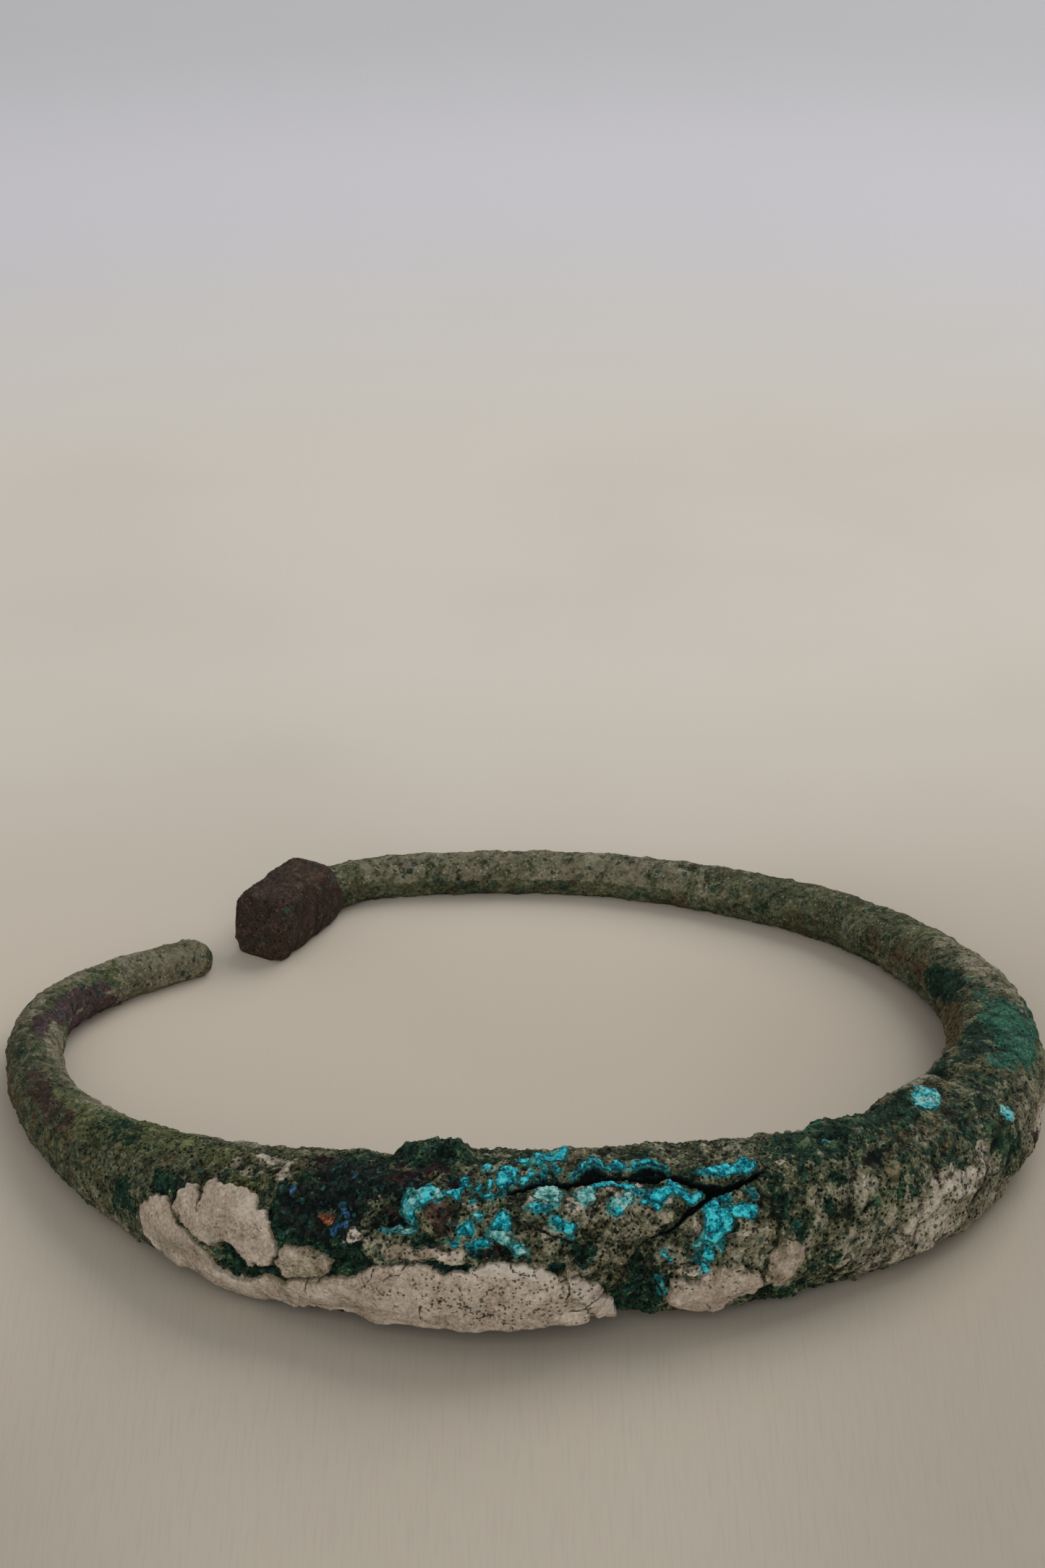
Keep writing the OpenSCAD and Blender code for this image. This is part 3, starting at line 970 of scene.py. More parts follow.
def add_values(mesh: bpy.types.Mesh, name: str, values: Array) -> None:
    """Stores one number for each vertex under a name that a finish reads."""
    made = mesh.attributes.new(name, "FLOAT", "POINT")
    made.data.foreach_set("value", np.asarray(values, np.float32))


@dataclass
class LimeCrust(CrustLayer):
    """Pale plates of lime that soil has left along the lower outer side."""

    name: str = "lime_crust"
    slot: str = "lime_crust"
    ragged: float = 0.32
    ragged_size: float = 1.1
    step: float = 0.115
    edge_keep: float = 0.62
    pit_deep: float = 0.16
    wave_high: float = 0.1
    # Blocks that stand a little above or below each other, with grooves between them
    block_size: float = 3.4
    block_step: float = 0.1
    groove_deep: float = 0.035
    groove_wide: float = 0.16
    wave_size: float = 2.2
    fine_high: float = 0.035
    fine_size: float = 0.7
    pore_size: float = 0.42
    # Hairline cracks: depth, width at the start and the end, how far and in what size they wander
    hair_deep: float = 0.06
    hair_wide: float = 0.08
    hair_end: float = 0.03
    hair_far: float = 0.1
    hair_size: float = 0.8
    # Stretches with pores, in rows as in ZONES, a small hole, and hairline cracks
    pores: str = (
        "-1.4,-0.7,5.2,2.2,1 -7,-1.6,4,1.6,0.2 12.2,-1,2.4,0.8,0.5 -5,2.2,3,1,1 12.6,-2.8,2.4,1.4,0.15 "
        "0.6,-3.2,3,0.8,0.6"
    )
    hole: Mark = Mark(1.8, -3.7, 0.22, 0.34, -0.4)
    hairs: tuple[str, ...] = (
        "-3.1,0.1 -2.7,-1.2 -2.1,-2.2 -1.9,-3.1",
        "2.1,0.5 2.2,-0.4 2.1,-1",
        "-8,0.8 -8.2,0.1 -8.6,-0.4",
        "-6.1,1.2 -6.4,0.6 -7.3,0.1 -7.4,-0.6",
        "14.3,-0.5 15.3,-0.75 15.9,-1.3",
        "3,-2 3.5,-2.7 3.7,-3.1",
        "-5.2,-1.4 -5.3,-2.6 -4.6,-3.6",
        "-0.4,1.9 -0.3,1.3 0.4,1",
        "3.8,-0.9 3.2,-1.6 3,-2 2,-2.3",
        "12.6,-4.3 12.9,-3.4 12.7,-2.6",
        "-12.9,-0.4 -13.1,-1.6 -12.6,-2.6",
    )

    def texture(self, at: Spots) -> Array:
        """Low waves, pits in the porous stretches, and hairline cracks.

        Args:
            at: The places.

        Returns:
            Height at each place, in mm.
        """
        grain, p = self.skin.grain, at.base
        fine = grain.fractal(p + 31.0, self.fine_size, 2, 0.6)
        waves = self.wave_high * grain.fractal(p + 5.0, self.wave_size, 3, 0.5) + self.fine_high * fine
        first, second, own = grain.cells(p + 0.3 * fine[:, None], self.block_size)
        groove = 1 - ease((second - first) / self.groove_wide)
        waves += self.block_step * (own - 0.5) * (1 - groove) - self.groove_deep * groove
        porous = self.porous(at)
        near, _, share = grain.cells(p, self.pore_size)
        pit = ease((0.36 - near) / 0.16) * (share < 0.2 + 0.5 * porous) * (0.15 + 0.85 * porous)
        waves += self.hole.most * ease((1.3 - self.hole.away(at.chart)) / 0.6)
        hair = ease((self.hair_depth(at) + 0.03) / 0.07)
        return waves - self.pit_deep * pit - self.hair_deep * hair

    def porous(self, at: Spots) -> Array:
        """How porous the lime is at each place, from 0 to 1.

        Args:
            at: The places.

        Returns:
            One share for each place.
        """
        most = np.zeros(len(at.along))
        for mark in Mark.read(self.pores):
            most = np.maximum(most, mark.most * ease((1.3 - mark.away(at.chart)) / 0.7))
        return most

    def hair_depth(self, at: Spots) -> Array:
        """Signed distance to the nearest hairline crack's edge, positive inside it.

        Args:
            at: The places.

        Returns:
            One distance in mm for each place.
        """
        moved = self.skin.wobble(at, self.hair_far, self.hair_size)
        wide = self.hair_wide, self.hair_end
        return np.max([line_depth(moved, read_rows(line), *wide) for line in self.hairs], axis=0)

    def extras(self, at: Spots) -> dict[str, Array]:
        """Hairline cracks and porous stretches, for their dark colour."""
        return {"hair": np.clip(self.hair_depth(at), -0.5, 0.5), "porous": self.porous(at)}


@dataclass
class CopperSalts(CrustLayer):
    """Bright copper salts that have grown along the cracks and over the flake."""

    name: str = "copper_salts"
    slot: str = "copper_salts"
    ragged: float = 0.23
    ragged_size: float = 0.8
    step: float = 0.095
    edge_keep: float = 0.4
    edge_round: float = 0.2
    sunk: float = 0.35
    thin: float = 0.6
    grain_size: float = 0.55
    grain_high: float = 0.06
    # Share of the crust's own relief that shows through
    follow: float = 0.8

    def ground(self, at: Spots) -> Array:
        """The crust that the salts have grown on.

        Args:
            at: The places.

        Returns:
            Its height at each place, in mm.
        """
        none = np.zeros(len(at.along))
        rough, _ = self.skin.crust(at, self.skin.zones(at), none, self.cover(self.reach(at)[0]))
        return self.skin.broad(at) + self.follow * rough

    def texture(self, at: Spots) -> Array:
        """Small rounded grains, as such salts grow in.

        Args:
            at: The places.

        Returns:
            Height at each place, in mm.
        """
        grain, p = self.skin.grain, at.base
        near, _, share = grain.cells(p + 2.0, self.grain_size)
        grains = self.grain_high * dome(near, 0.62, -0.6) * (0.4 + share)
        return grains + self.grain_high * grain.fractal(p + 5.0, 0.8, 3, 0.65)


@dataclass
class RingBody:
    """The bronze hoop in one piece, from the left arm's tip to the square terminal."""

    form: HoopForm
    skin: Skin
    lime: LimeCrust
    salts: CopperSalts
    name: str = "ring_body"
    rows: int = 184
    # Length in mm over which each end rounds off, how far it closes, and how much of that the
    # flat end takes
    tip_round: float = 1.6
    tip_close: float = 0.97
    end_round: float = 0.6
    end_close: float = 0.75
    end_share: float = 0.4
    # Gap between rings of the mesh: distance along the hoop and gap, in mm
    ring_gaps: tuple[Place, ...] = (
        (-80.6, 0.15), (-79.0, 0.15), (-78.4, 0.32), (-46.0, 0.34), (-30.0, 0.3), (-23.0, 0.145),
        (23.0, 0.145), (30.0, 0.27), (66.0, 0.29), (90.0, 0.33), (128.0, 0.33), (131.0, 0.3),
        (138.6, 0.3), (139.0, 0.12), (139.9, 0.12),
    )
    # Gap between rows of the mesh: turn round the section and gap, in degrees, closer on the
    # outer and upper side
    row_gaps: tuple[Place, ...] = (
        (-180.0, 3.4), (-60.0, 3.4), (-50.0, 1.34), (122.0, 1.34), (134.0, 3.4), (180.0, 3.4),
    )
    # Distance from the front middle at which the rows begin to be even, and over how far, in mm
    even_from: float = 26.0
    even_over: float = 10.0
    # Stretch that plates of lime or salts may cover, and how deep the crust drops beside lime
    plate_reach: Place = (-30.0, 36.0)
    gutter_deep: float = 0.14
    # Where the mesh keeps every row, every second row, and else every fourth
    all_rows: Place = (-24.0, 24.0)
    half_rows: Place = (-46.0, 70.0)
    face_rings: tuple[float, ...] = (0.78, 0.56, 0.36, 0.18)

    def row_turns(self) -> Array:
        """Turns of the rows round the section, in degrees.

        Returns:
            One turn for each row, in rising order.
        """
        places = spaced(-180.0, 180.0, self.row_gaps)
        share = np.linspace(0, 1, self.rows + 1)[:-1]
        return np.interp(share, np.linspace(0, 1, len(places)), places)

    def rings(self) -> tuple[Array, Array, Array]:
        """Rings of the mesh.

        Returns:
            Each ring's distance along the hoop in mm, its share of the section's
            size, and how many rows it steps over.
        """
        low, high = self.form.lengths[0], self.form.lengths[-1]
        along = spaced(low, high, self.ring_gaps)
        tip = 1 - np.clip((along - low) / self.tip_round, 0, 1)
        end = 1 - np.clip((high - along) / self.end_round, 0, 1)
        blunt = mix(1.0, np.sqrt(1 - self.end_close * end**2), self.end_share)
        narrow = np.sqrt(1 - self.tip_close * tip**2) * blunt
        step = np.full(len(along), 4)
        step[between(along, self.half_rows)] = 2
        step[between(along, self.all_rows)] = 1
        face = np.array(self.face_rings)
        along = np.concatenate([along, np.full(len(face), high)])
        narrow = np.concatenate([narrow, narrow[-1] * face])
        step = np.concatenate([step, np.full(len(face), 4)])
        return along, narrow, step

    def build(self) -> bpy.types.Object:
        """Makes the closed skin with the numbers that its finish reads.

        Returns:
            The hoop as one piece.
        """
        along, narrow, step = self.rings()
        turns = self.row_turns()
        even = np.linspace(-180, 180, self.rows + 1)[:-1]
        out = ease((np.abs(along) - self.even_from) / self.even_over)
        around = [mix(turns[::n], even[::n], w) for n, w in zip(step, out, strict=True)]
        counts = np.array([len(ring) for ring in around])
        ring_angle = np.interp(along, self.form.lengths, self.form.angles)
        at = self.form.spots(np.repeat(ring_angle, counts), np.radians(np.concatenate(around)))
        zones = self.skin.zones(at)
        near = np.flatnonzero(between(at.along, self.plate_reach))
        lime_depth, salt_depth = np.full((2, len(at.along)), OUTSIDE)
        lime_depth[near] = self.lime.reach(at.only(near))[0]
        salt_depth[near] = self.salts.reach(at.only(near))[0]
        cover = self.lime.cover(lime_depth)
        relief, tint = self.skin.crust(at, zones, cover, self.salts.cover(salt_depth))
        edge, cut = self.skin.split_depth(at)
        # The crust drops a little just outside each lime plate's edge
        gutter = self.gutter_deep * ease((lime_depth + 0.5) / 0.3) * (1 - cover)
        rise = self.skin.broad(at) + relief - cut - gutter
        narrow_each = np.repeat(narrow, counts)
        points = self.form.raised(at, rise * narrow_each, narrow_each)
        points, faces = self.close(points, counts, step)
        mesh = bpy.data.meshes.new(self.name)
        mesh.from_pydata((points * MM).tolist(), [], faces)
        mesh.shade_smooth()
        values = {zone.value: strength for zone, strength in zones.items()}
        values |= {"relief": relief, "tint": tint, "split": edge, "cut": cut, "salt": salt_depth}
        values["thin"] = 1 - at.wide / self.form.full_thick
        for label, numbers in values.items():
            add_values(mesh, label, np.concatenate([numbers, numbers[:1], numbers[-1:]]))
        piece = bpy.data.objects.new(self.name, mesh)
        bpy.context.scene.collection.objects.link(piece)
        return piece

    def close(self, points: Array, counts: Array, step: Array) -> tuple[Array, list[list[int]]]:
        """Faces between the rings, and the two closed ends.

        Args:
            points: The skin's points, ring by ring.
            counts: Points in each ring.
            step: How many rows each ring steps over.

        Returns:
            The points with one more in the middle of each end, and the faces.
        """
        starts = np.concatenate([[0], np.cumsum(counts)])
        faces: list[list[int]] = []
        for i, (a, b) in enumerate(itertools.pairwise(starts[:-1])):
            n, m = counts[i], counts[i + 1]
            k = np.arange(min(n, m))
            if n == m:
                nxt = (k + 1) % n
                faces += np.stack([a + k, b + k, b + nxt, a + nxt], axis=1).tolist()
                continue
            fine, coarse, few = (a, b, m) if n > m else (b, a, n)
            nxt = (k + 1) % few
            after = (2 * k + 2) % (2 * few)
            made = [
                (fine + 2 * k, coarse + k, fine + 2 * k + 1),
                (fine + 2 * k + 1, coarse + k, coarse + nxt),
                (fine + 2 * k + 1, coarse + nxt, fine + after),
            ]
            for corners in made:
                ordered = corners if n > m else corners[::-1]
                faces += np.stack(ordered, axis=1).tolist()
        first, last = points[: counts[0]], points[starts[-2]:]
        points = np.concatenate([points, [first.mean(0)], [last.mean(0)]])
        tip, end = starts[-1], starts[-1] + 1
        for j in range(counts[0]):
            faces.append([j, (j + 1) % counts[0], tip])
        for j in range(counts[-1]):
            faces.append([starts[-2] + (j + 1) % counts[-1], starts[-2] + j, end])
        return points, faces


def linear(colour: Rgb) -> tuple[float, float, float, float]:
    """A screen colour from 0 to 255 as Blender's linear colour.

    Args:
        colour: Red, green and blue as a screen shows them.

    Returns:
        The same colour in linear light, with an alpha of 1.
    """
    shares = [c / 255 for c in colour]
    bent = [c / 12.92 if c <= 0.04045 else ((c + 0.055) / 1.055) ** 2.4 for c in shares]
    return (*bent, 1.0)


Socket = bpy.types.NodeSocket


class Value:
    """A number that varies over a surface, worked out by a material's nodes."""

    def __init__(self, paint: "Paint", socket: Socket) -> None:
        """Keeps the socket that gives the number."""
        self.paint = paint
        self.socket = socket

    def math(self, kind: str, first: "Feed", second: "Feed") -> "Value":
        """Two numbers put together by a math node."""
        node = self.paint.node("ShaderNodeMath", {0: first, 1: second}, operation=kind)
        return Value(self.paint, node.outputs[0])

    def __add__(self, other: "Feed") -> "Value":
        """Sum with another number."""
        return self.math("ADD", self, other)

    def __sub__(self, other: "Feed") -> "Value":
        """This number less another."""
        return self.math("SUBTRACT", self, other)

    def __rsub__(self, other: "Feed") -> "Value":
        """Another number less this one."""
        return self.math("SUBTRACT", other, self)

    def __mul__(self, other: "Feed") -> "Value":
        """Product with another number."""
        return self.math("MULTIPLY", self, other)

    __radd__ = __add__
    __rmul__ = __mul__

    def step(self, low: float, high: float, most: float = 1.0) -> "Value":
        """Smooth step from 0 where this number is low to most where it is high.

        Args:
            low: Where the step starts.
            high: Where it ends, under low for a falling step.
            most: What it reaches.

        Returns:
            The step.
        """
        feeds = {"Value": self, "From Min": low, "From Max": high, "To Max": most}
        node = self.paint.node("ShaderNodeMapRange", feeds, interpolation_type="SMOOTHSTEP")
        return Value(self.paint, node.outputs["Result"])

    def ragged(self, noise: "Value", far: float, low: float, high: float) -> "Value":
        """A step whose edge a noise breaks up by as much as far."""
        return (self + 2 * far * (noise - 0.5)).step(low, high)


Feed = Value | Socket | float | tuple


class Paint:
    """Lays the nodes of one material, and colours over each other."""

    # Distances from a spot's middle between which it fades, as shares of the spots' distance
    SPOT_EDGE = (0.5, 0.3)
    # Tones of the first and the last shade in a run
    SHADE_ENDS = (0.06, 0.94)

    def __init__(self, name: str, gloss: float) -> None:
        """Starts a material with one shader and object coordinates in mm.

        Args:
            name: Name of the material.
            gloss: The shader's specular level.
        """
        self.material = bpy.data.materials.new(name)
        self.material.use_nodes = True
        self.nodes = self.material.node_tree.nodes
        self.links = self.material.node_tree.links
        self.nodes.clear()
        self.shader = self.node("ShaderNodeBsdfPrincipled", {"Specular IOR Level": gloss})
        self.node("ShaderNodeOutputMaterial", {"Surface": self.shader.outputs["BSDF"]})
        place = self.node("ShaderNodeTexCoord", {}).outputs["Object"]
        self.place = self.stretched(place, (1 / MM, 1 / MM, 1 / MM))
        self.colour: Socket | None = None

    def node(self, kind: str, feeds: dict[str | int, Feed], **settings: str) -> bpy.types.Node:
        """Adds a node.

        Args:
            kind: Blender's name for it.
            feeds: What each input gets, a value, a socket or a plain number.
            settings: The node's own settings.

        Returns:
            The node.
        """
        made = self.nodes.new(kind)
        for name, setting in settings.items():
            setattr(made, name, setting)
        for name, given in feeds.items():
            given = given.socket if isinstance(given, Value) else given
            if isinstance(given, Socket):
                self.links.new(given, made.inputs[name])
            else:
                made.inputs[name].default_value = given
        return made

    def stretched(self, place: Socket, by: tuple[float, float, float]) -> Socket:
        """Coordinates scaled along each axis."""
        return self.node("ShaderNodeVectorMath", {0: place, 1: by}, operation="MULTIPLY").outputs[0]

    def noise(self, size: float, detail: float, rough: float, shift: float,
              place: Socket | None = None) -> Value:
        """Soft noise from 0 to 1, about 0.5.

        Args:
            size: Size of its largest patches in mm.
            detail: Number of finer layers.
            rough: How much the finer layers count.
            shift: Moves the pattern, so that two noises differ.
            place: Coordinates to read it at, or None for the piece's own.

        Returns:
            The noise's value.
        """
        feeds = {"Vector": place or self.place, "W": shift, "Scale": 1 / size, "Detail": detail,
                 "Roughness": rough}
        node = self.node("ShaderNodeTexNoise", feeds, noise_dimensions="4D")
        return Value(self, node.outputs["Fac"])

    def grains(self, size: float) -> tuple[Value, Value, Value]:
        """Distance to the nearest of some scattered grains, and two values of that grain's own.

        Args:
            size: Distance between the grains in mm.

        Returns:
            The distance as a share of the size, and two values from 0 to 1.
        """
        node = self.node("ShaderNodeTexVoronoi", {"Vector": self.place, "Scale": 1 / size})
        parts = self.node("ShaderNodeSeparateColor", {0: node.outputs["Color"]})
        sockets = node.outputs["Distance"], parts.outputs[0], parts.outputs[1]
        return tuple(Value(self, socket) for socket in sockets)

    def speckle(self, size: float) -> Value:
        """A value from 0 to 1 that each small grain has for itself, with a size in mm."""
        return self.grains(size)[1]

    def specks(self, size: float, share: float) -> Value:
        """Small round spots, 1 in the spots and 0 between them.

        Args:
            size: Distance between spots in mm.
            share: Share of the places for a spot that have one.

        Returns:
            The spots' own cover.
        """
        away, _, own = self.grains(size)
        return away.step(*self.SPOT_EDGE) * own.step(share + 0.01, share - 0.01)

    def coordinate(self, axis: int) -> Value:
        """One coordinate of the place, in mm."""
        return Value(self, self.node("ShaderNodeSeparateXYZ", {0: self.place}).outputs[axis])

    def value(self, name: str) -> Value:
        """A number stored on the mesh."""
        return Value(self, self.node("ShaderNodeAttribute", {}, attribute_name=name).outputs["Fac"])

    def ramp(self, share: Value, stops: Sequence[tuple[float, Rgb]], kind: str = "LINEAR") -> Socket:
        """A run of colours over a share from 0 to 1.

        Args:
            share: Where on the run each place lies.
            stops: Places on the run, each with its colour.
            kind: How the colours between the stops are made.

        Returns:
            The run's colour.
        """
        node = self.node("ShaderNodeValToRGB", {0: share})
        node.color_ramp.interpolation = kind
        points = node.color_ramp.elements
        while len(points) < len(stops):
            points.new(0.5)
        for point, (where, colour) in zip(points, stops, strict=True):
            point.position = where
            point.color = linear(colour)
        return node.outputs[0]

    def toned(self, shades: Shades, tone: Value) -> Socket:
        """A run of shades over a tone from 0 to 1, from the low spots to the high ones."""
        places = np.linspace(*self.SHADE_ENDS, len(shades))
        return self.ramp(tone, list(zip(places.tolist(), shades, strict=True)))

    def lay(self, share: Value, over: Socket | Rgb) -> None:
        """Lays a colour by a share over those laid so far.

        Args:
            share: How much of the colour covers, from 0 to 1.
            over: The colour.
        """
        over = linear(over) if isinstance(over, tuple) else over
        mixed = self.node("ShaderNodeMix", {0: share, 6: self.colour, 7: over}, data_type="RGBA")
        self.colour = mixed.outputs[2]

    def dress(self, rough: float, height: Value, strength: float = 1.0) -> bpy.types.Material:
        """Feeds the shader with the colours laid.

        Args:
            rough: Roughness.
            height: Fine height in mm.
            strength: How strongly the height shows.

        Returns:
            The finished material.
        """
        self.links.new(self.colour, self.shader.inputs["Base Color"])
        self.shader.inputs["Roughness"].default_value = rough
        bump = self.node("ShaderNodeBump", {"Height": height, "Distance": MM, "Strength": strength})
        self.links.new(bump.outputs["Normal"], self.shader.inputs["Normal"])
        return self.material


@dataclass(frozen=True)
class PatinaFinish:
    """Granular olive crust, moss green, dark bare metal and soil on the bronze."""

    name: str = "patina"
    olive: Shades = ((10, 15, 10), (40, 46, 31), (78, 82, 60), (116, 115, 90), (158, 150, 128))
    moss: Shades = ((3, 12, 9), (11, 32, 22), (30, 56, 41), (78, 98, 66))
    bare: Shades = ((2, 7, 7), (8, 19, 17), (22, 34, 29), (58, 58, 46))
    red: Shades = ((6, 5, 6), (26, 15, 16), (50, 27, 27), (78, 50, 42))
    blue: Shades = ((10, 26, 44), (34, 74, 104), (72, 122, 152))
    teal: Shades = ((6, 22, 18), (22, 56, 44), (48, 96, 78), (88, 132, 108))
    ochre: Shades = ((18, 15, 9), (60, 50, 32), (94, 80, 55), (126, 112, 84))
    rust: Shades = ((56, 28, 18), (118, 66, 40), (176, 128, 98))
    leaf: Shades = ((18, 23, 12), (60, 66, 40), (102, 106, 70), (140, 140, 106))
    violet: Shades = ((18, 12, 14), (54, 42, 43), (84, 70, 70), (110, 97, 92))
    umber: Shades = ((14, 11, 9), (60, 48, 40), (106, 86, 72))
    soil: Shades = ((24, 25, 18), (86, 84, 66), (132, 127, 106), (170, 162, 144))
    chalk: Shades = ((70, 64, 54), (134, 125, 109), (176, 167, 150), (204, 198, 184))
    salt: Shades = ((10, 60, 60), (34, 126, 128), (84, 178, 176))
    # Painted shade deep down in the cracks
    dark: Rgb = (4, 8, 9)
    deep_teal: Rgb = (16, 48, 52)
    flecks: Shades = ((92, 88, 68), (22, 82, 78), (14, 44, 38), (54, 42, 32), (72, 42, 34))
    # How far the kinds' edges break up, and the kinds that do so more
    far: float = 1.5
    loose_far: float = 2.3
    loose: tuple[Zone, ...] = (Zone.MOSS, Zone.SOIL, Zone.OCHRE, Zone.TEAL)
    # Sizes in mm of the wide, the middle and the fine grain, of sand, pits, pale grains and
    # flecks, and of the patches, the green stains and the brown ones
    wide_size: float = 3.0
    mid_size: float = 0.85
    fine_size: float = 0.32
    sand_sizes: Place = (0.16, 0.29)
    pit_size: float = 0.27
    pale_size: float = 0.2
    fleck_size: float = 0.37
    patch_sizes: Place = (0.5, 1.5)
    green_size: float = 1.6
    brown_size: float = 2.1
    rough: float = 0.85
    gloss: float = 0.12

    def material(self) -> bpy.types.Material:
        """Mixes the crust's colours, grain and roughness.

        Returns:
            The material.
        """
        p = Paint(self.name, self.gloss)
        wide, mid = p.noise(self.wide_size, 3, 0.55, 1.0), p.noise(self.mid_size, 3, 0.6, 2.0)
        fine = p.noise(self.fine_size, 3, 0.65, 3.0)
        sand = 0.55 * p.speckle(self.sand_sizes[0]) + 0.45 * p.speckle(self.sand_sizes[1])
        relief, tint, bare = p.value("relief"), p.value("tint"), p.value(Zone.BARE.value)
        # The relief term darkens the low spots as painted shade and lightens the high ones as painted
        # light
        tone = 0.4 * wide + 0.5 * mid + 0.95 * fine + 0.2 * tint + 0.42 * sand + 1.3 * relief
        tone = (tone + 0.05 * p.value(Zone.LUMPY.value)).step(0.62, 1.92)
        # Thin arms are more even than the thick front
        calm = 0.7 * p.value("thin")
        tone = tone + calm * (0.5 - tone)
        # Fine pits, darkened as painted shade, and pale grains all over
        pits = p.specks(self.pit_size, 0.4) * (1.0 - 1.4 * calm)
        tone = tone - 0.5 * pits + 0.3 * p.specks(self.pale_size, 0.12)
        p.colour = p.toned(self.olive, tone)
        small, large = self.patch_sizes
        patches = 0.6 * p.noise(small, 3, 0.7, 5.0) + 0.6 * p.noise(large, 3, 0.6, 6.0) + 0.2 * tint
        # Green and brown stains wander through the olive, and then the charted kinds lie on it
        green = p.noise(self.green_size, 4, 0.7, 4.0) + 0.3 * patches
        p.lay(green.step(0.72, 0.84, 0.8), p.toned(self.moss, tone))
        brown = p.noise(self.brown_size, 4, 0.7, 8.0) + 0.2 * patches
        p.lay(brown.step(0.64, 0.78, 0.7), p.toned(self.ochre, tone))
        for zone, shades in (
            (Zone.TEAL, self.teal), (Zone.OCHRE, self.ochre), (Zone.LEAF, self.leaf),
            (Zone.VIOLET, self.violet), (Zone.SOIL, self.soil), (Zone.MOSS, self.moss),
            (Zone.BARE, self.bare), (Zone.RED, self.red), (Zone.BLUE, self.blue),
            (Zone.RUST, self.rust), (Zone.UMBER, self.umber), (Zone.CHALK, self.chalk),
        ):
            far = self.loose_far if zone in self.loose else self.far
            p.lay((p.value(zone.value) + far * (patches - 0.7)).step(0.36, 0.52), p.toned(shades, tone))
        # Stray grains of other minerals, most of them on the bare metal
        stray = 0.24 * bare + 0.06 * p.value(Zone.MOSS.value)
        kinds = list(zip(np.linspace(0.3, 0.62, len(self.flecks)).tolist(), self.flecks, strict=True))
        flecked = (p.speckle(self.fleck_size) + stray).step(0.955, 0.975, 0.85)
        p.lay(flecked, p.ramp(fine, kinds, "CONSTANT"))
        # Light grains of soil on the high spots, partly a painted highlight; dark dirt in the low ones,
        # partly painted shade
        p.lay(relief.ragged(fine, 0.3, 0.2, 0.32) * (0.45 - 0.38 * bare), self.soil[2])
        p.lay(0.85 * (-1.0 * relief).ragged(mid, 0.12, 0.06, 0.24), self.moss[0])
        # A film of salts round each patch of them
        film = p.value("salt") + 1.3 * (patches - 0.7)
        p.lay(film.step(-0.2, 0.02, 0.85), p.toned(self.salt, tone))
        # Dark teal patina and then black down in the cracks, the black a painted shade
        inner = p.value("split").step(-0.04, 0.0) * p.value("cut").step(0.1, 0.4)
        p.lay(inner, p.ramp(p.value("cut") + fine, [(0.75, self.deep_teal), (1.0, self.dark)]))
        return p.dress(self.rough, 0.16 * fine + 0.1 * mid - 0.09 * pits)


@dataclass(frozen=True)
class LimeFinish:
    """Chalky pinkish beige with pores, brown stains and hairline cracks."""

    name: str = "lime"
    shades: Shades = ((90, 77, 62), (152, 137, 121), (180, 166, 150), (204, 194, 181))
    tan: Shades = ((54, 51, 36), (100, 93, 70), (132, 123, 99), (162, 151, 128))
    stain: Rgb = (120, 99, 78)
    grey: Rgb = (136, 135, 121)
    white: Rgb = (198, 191, 180)
    # Painted shade down in the pores, pits and hairline cracks
    dark: Rgb = (28, 28, 22)
    # Sizes in mm of the wide, the middle and the fine grain, of sand, of the two stains, of
    # the porous patches and of the pores
    wide_size: float = 3.0
    mid_size: float = 0.8
    fine_size: float = 0.25
    sand_size: float = 0.17
    stain_size: float = 1.7
    grey_size: float = 2.9
    patch_size: float = 1.1
    pore_size: float = 0.23
    rough: float = 0.9
    gloss: float = 0.12

    def material(self) -> bpy.types.Material:
        """Mixes the lime's colours and grain.

        Returns:
            The material.
        """
        p = Paint(self.name, self.gloss)
        wide, mid = p.noise(self.wide_size, 3, 0.55, 1.0), p.noise(self.mid_size, 4, 0.6, 2.0)
        fine = p.noise(self.fine_size, 3, 0.65, 3.0)
        relief, pale = p.value("relief"), p.value("pale")
        # The relief term darkens the low spots as painted shade and lightens the high ones as painted
        # light
        tone = 0.6 * wide + 0.4 * mid + 0.55 * fine + 0.24 * p.speckle(self.sand_size) + relief
        tone = tone.step(0.34, 1.4)
        p.colour = p.toned(self.shades, tone)
        sandy = pale.ragged(mid, 0.25, 0.55, 0.3)
        p.lay(sandy, p.toned(self.tan, tone))
        p.lay(p.noise(self.stain_size, 4, 0.65, 4.0).step(0.56, 0.72, 0.25), self.stain)
        p.lay(p.noise(self.grey_size, 4, 0.65, 5.0).step(0.56, 0.7, 0.4), self.grey)
        p.lay(0.7 * pale.ragged(mid, 0.12, 0.86, 0.96), self.white)
        # Pores, then pits and hairline cracks, all darkened with painted shade down in them, and then the
        # rim
        porous = p.noise(self.patch_size, 3, 0.6, 6.0) + (0.2 * p.value("porous") + 0.18 * sandy)
        pores = p.specks(self.pore_size, 0.4) * porous.step(0.55, 0.69)
        p.lay(0.75 * pores, self.dark)
        p.lay(0.85 * (-1.0 * relief).ragged(fine, 0.04, 0.12, 0.2), self.dark)
        p.lay(0.9 * p.value("hair").ragged(fine, 0.03, -0.05, 0.0), self.dark)
        p.lay(0.5 * p.value("depth").ragged(mid, 0.12, 0.14, 0.0), self.tan[1])
        return p.dress(self.rough, 0.1 * fine + 0.07 * mid - 0.1 * pores)


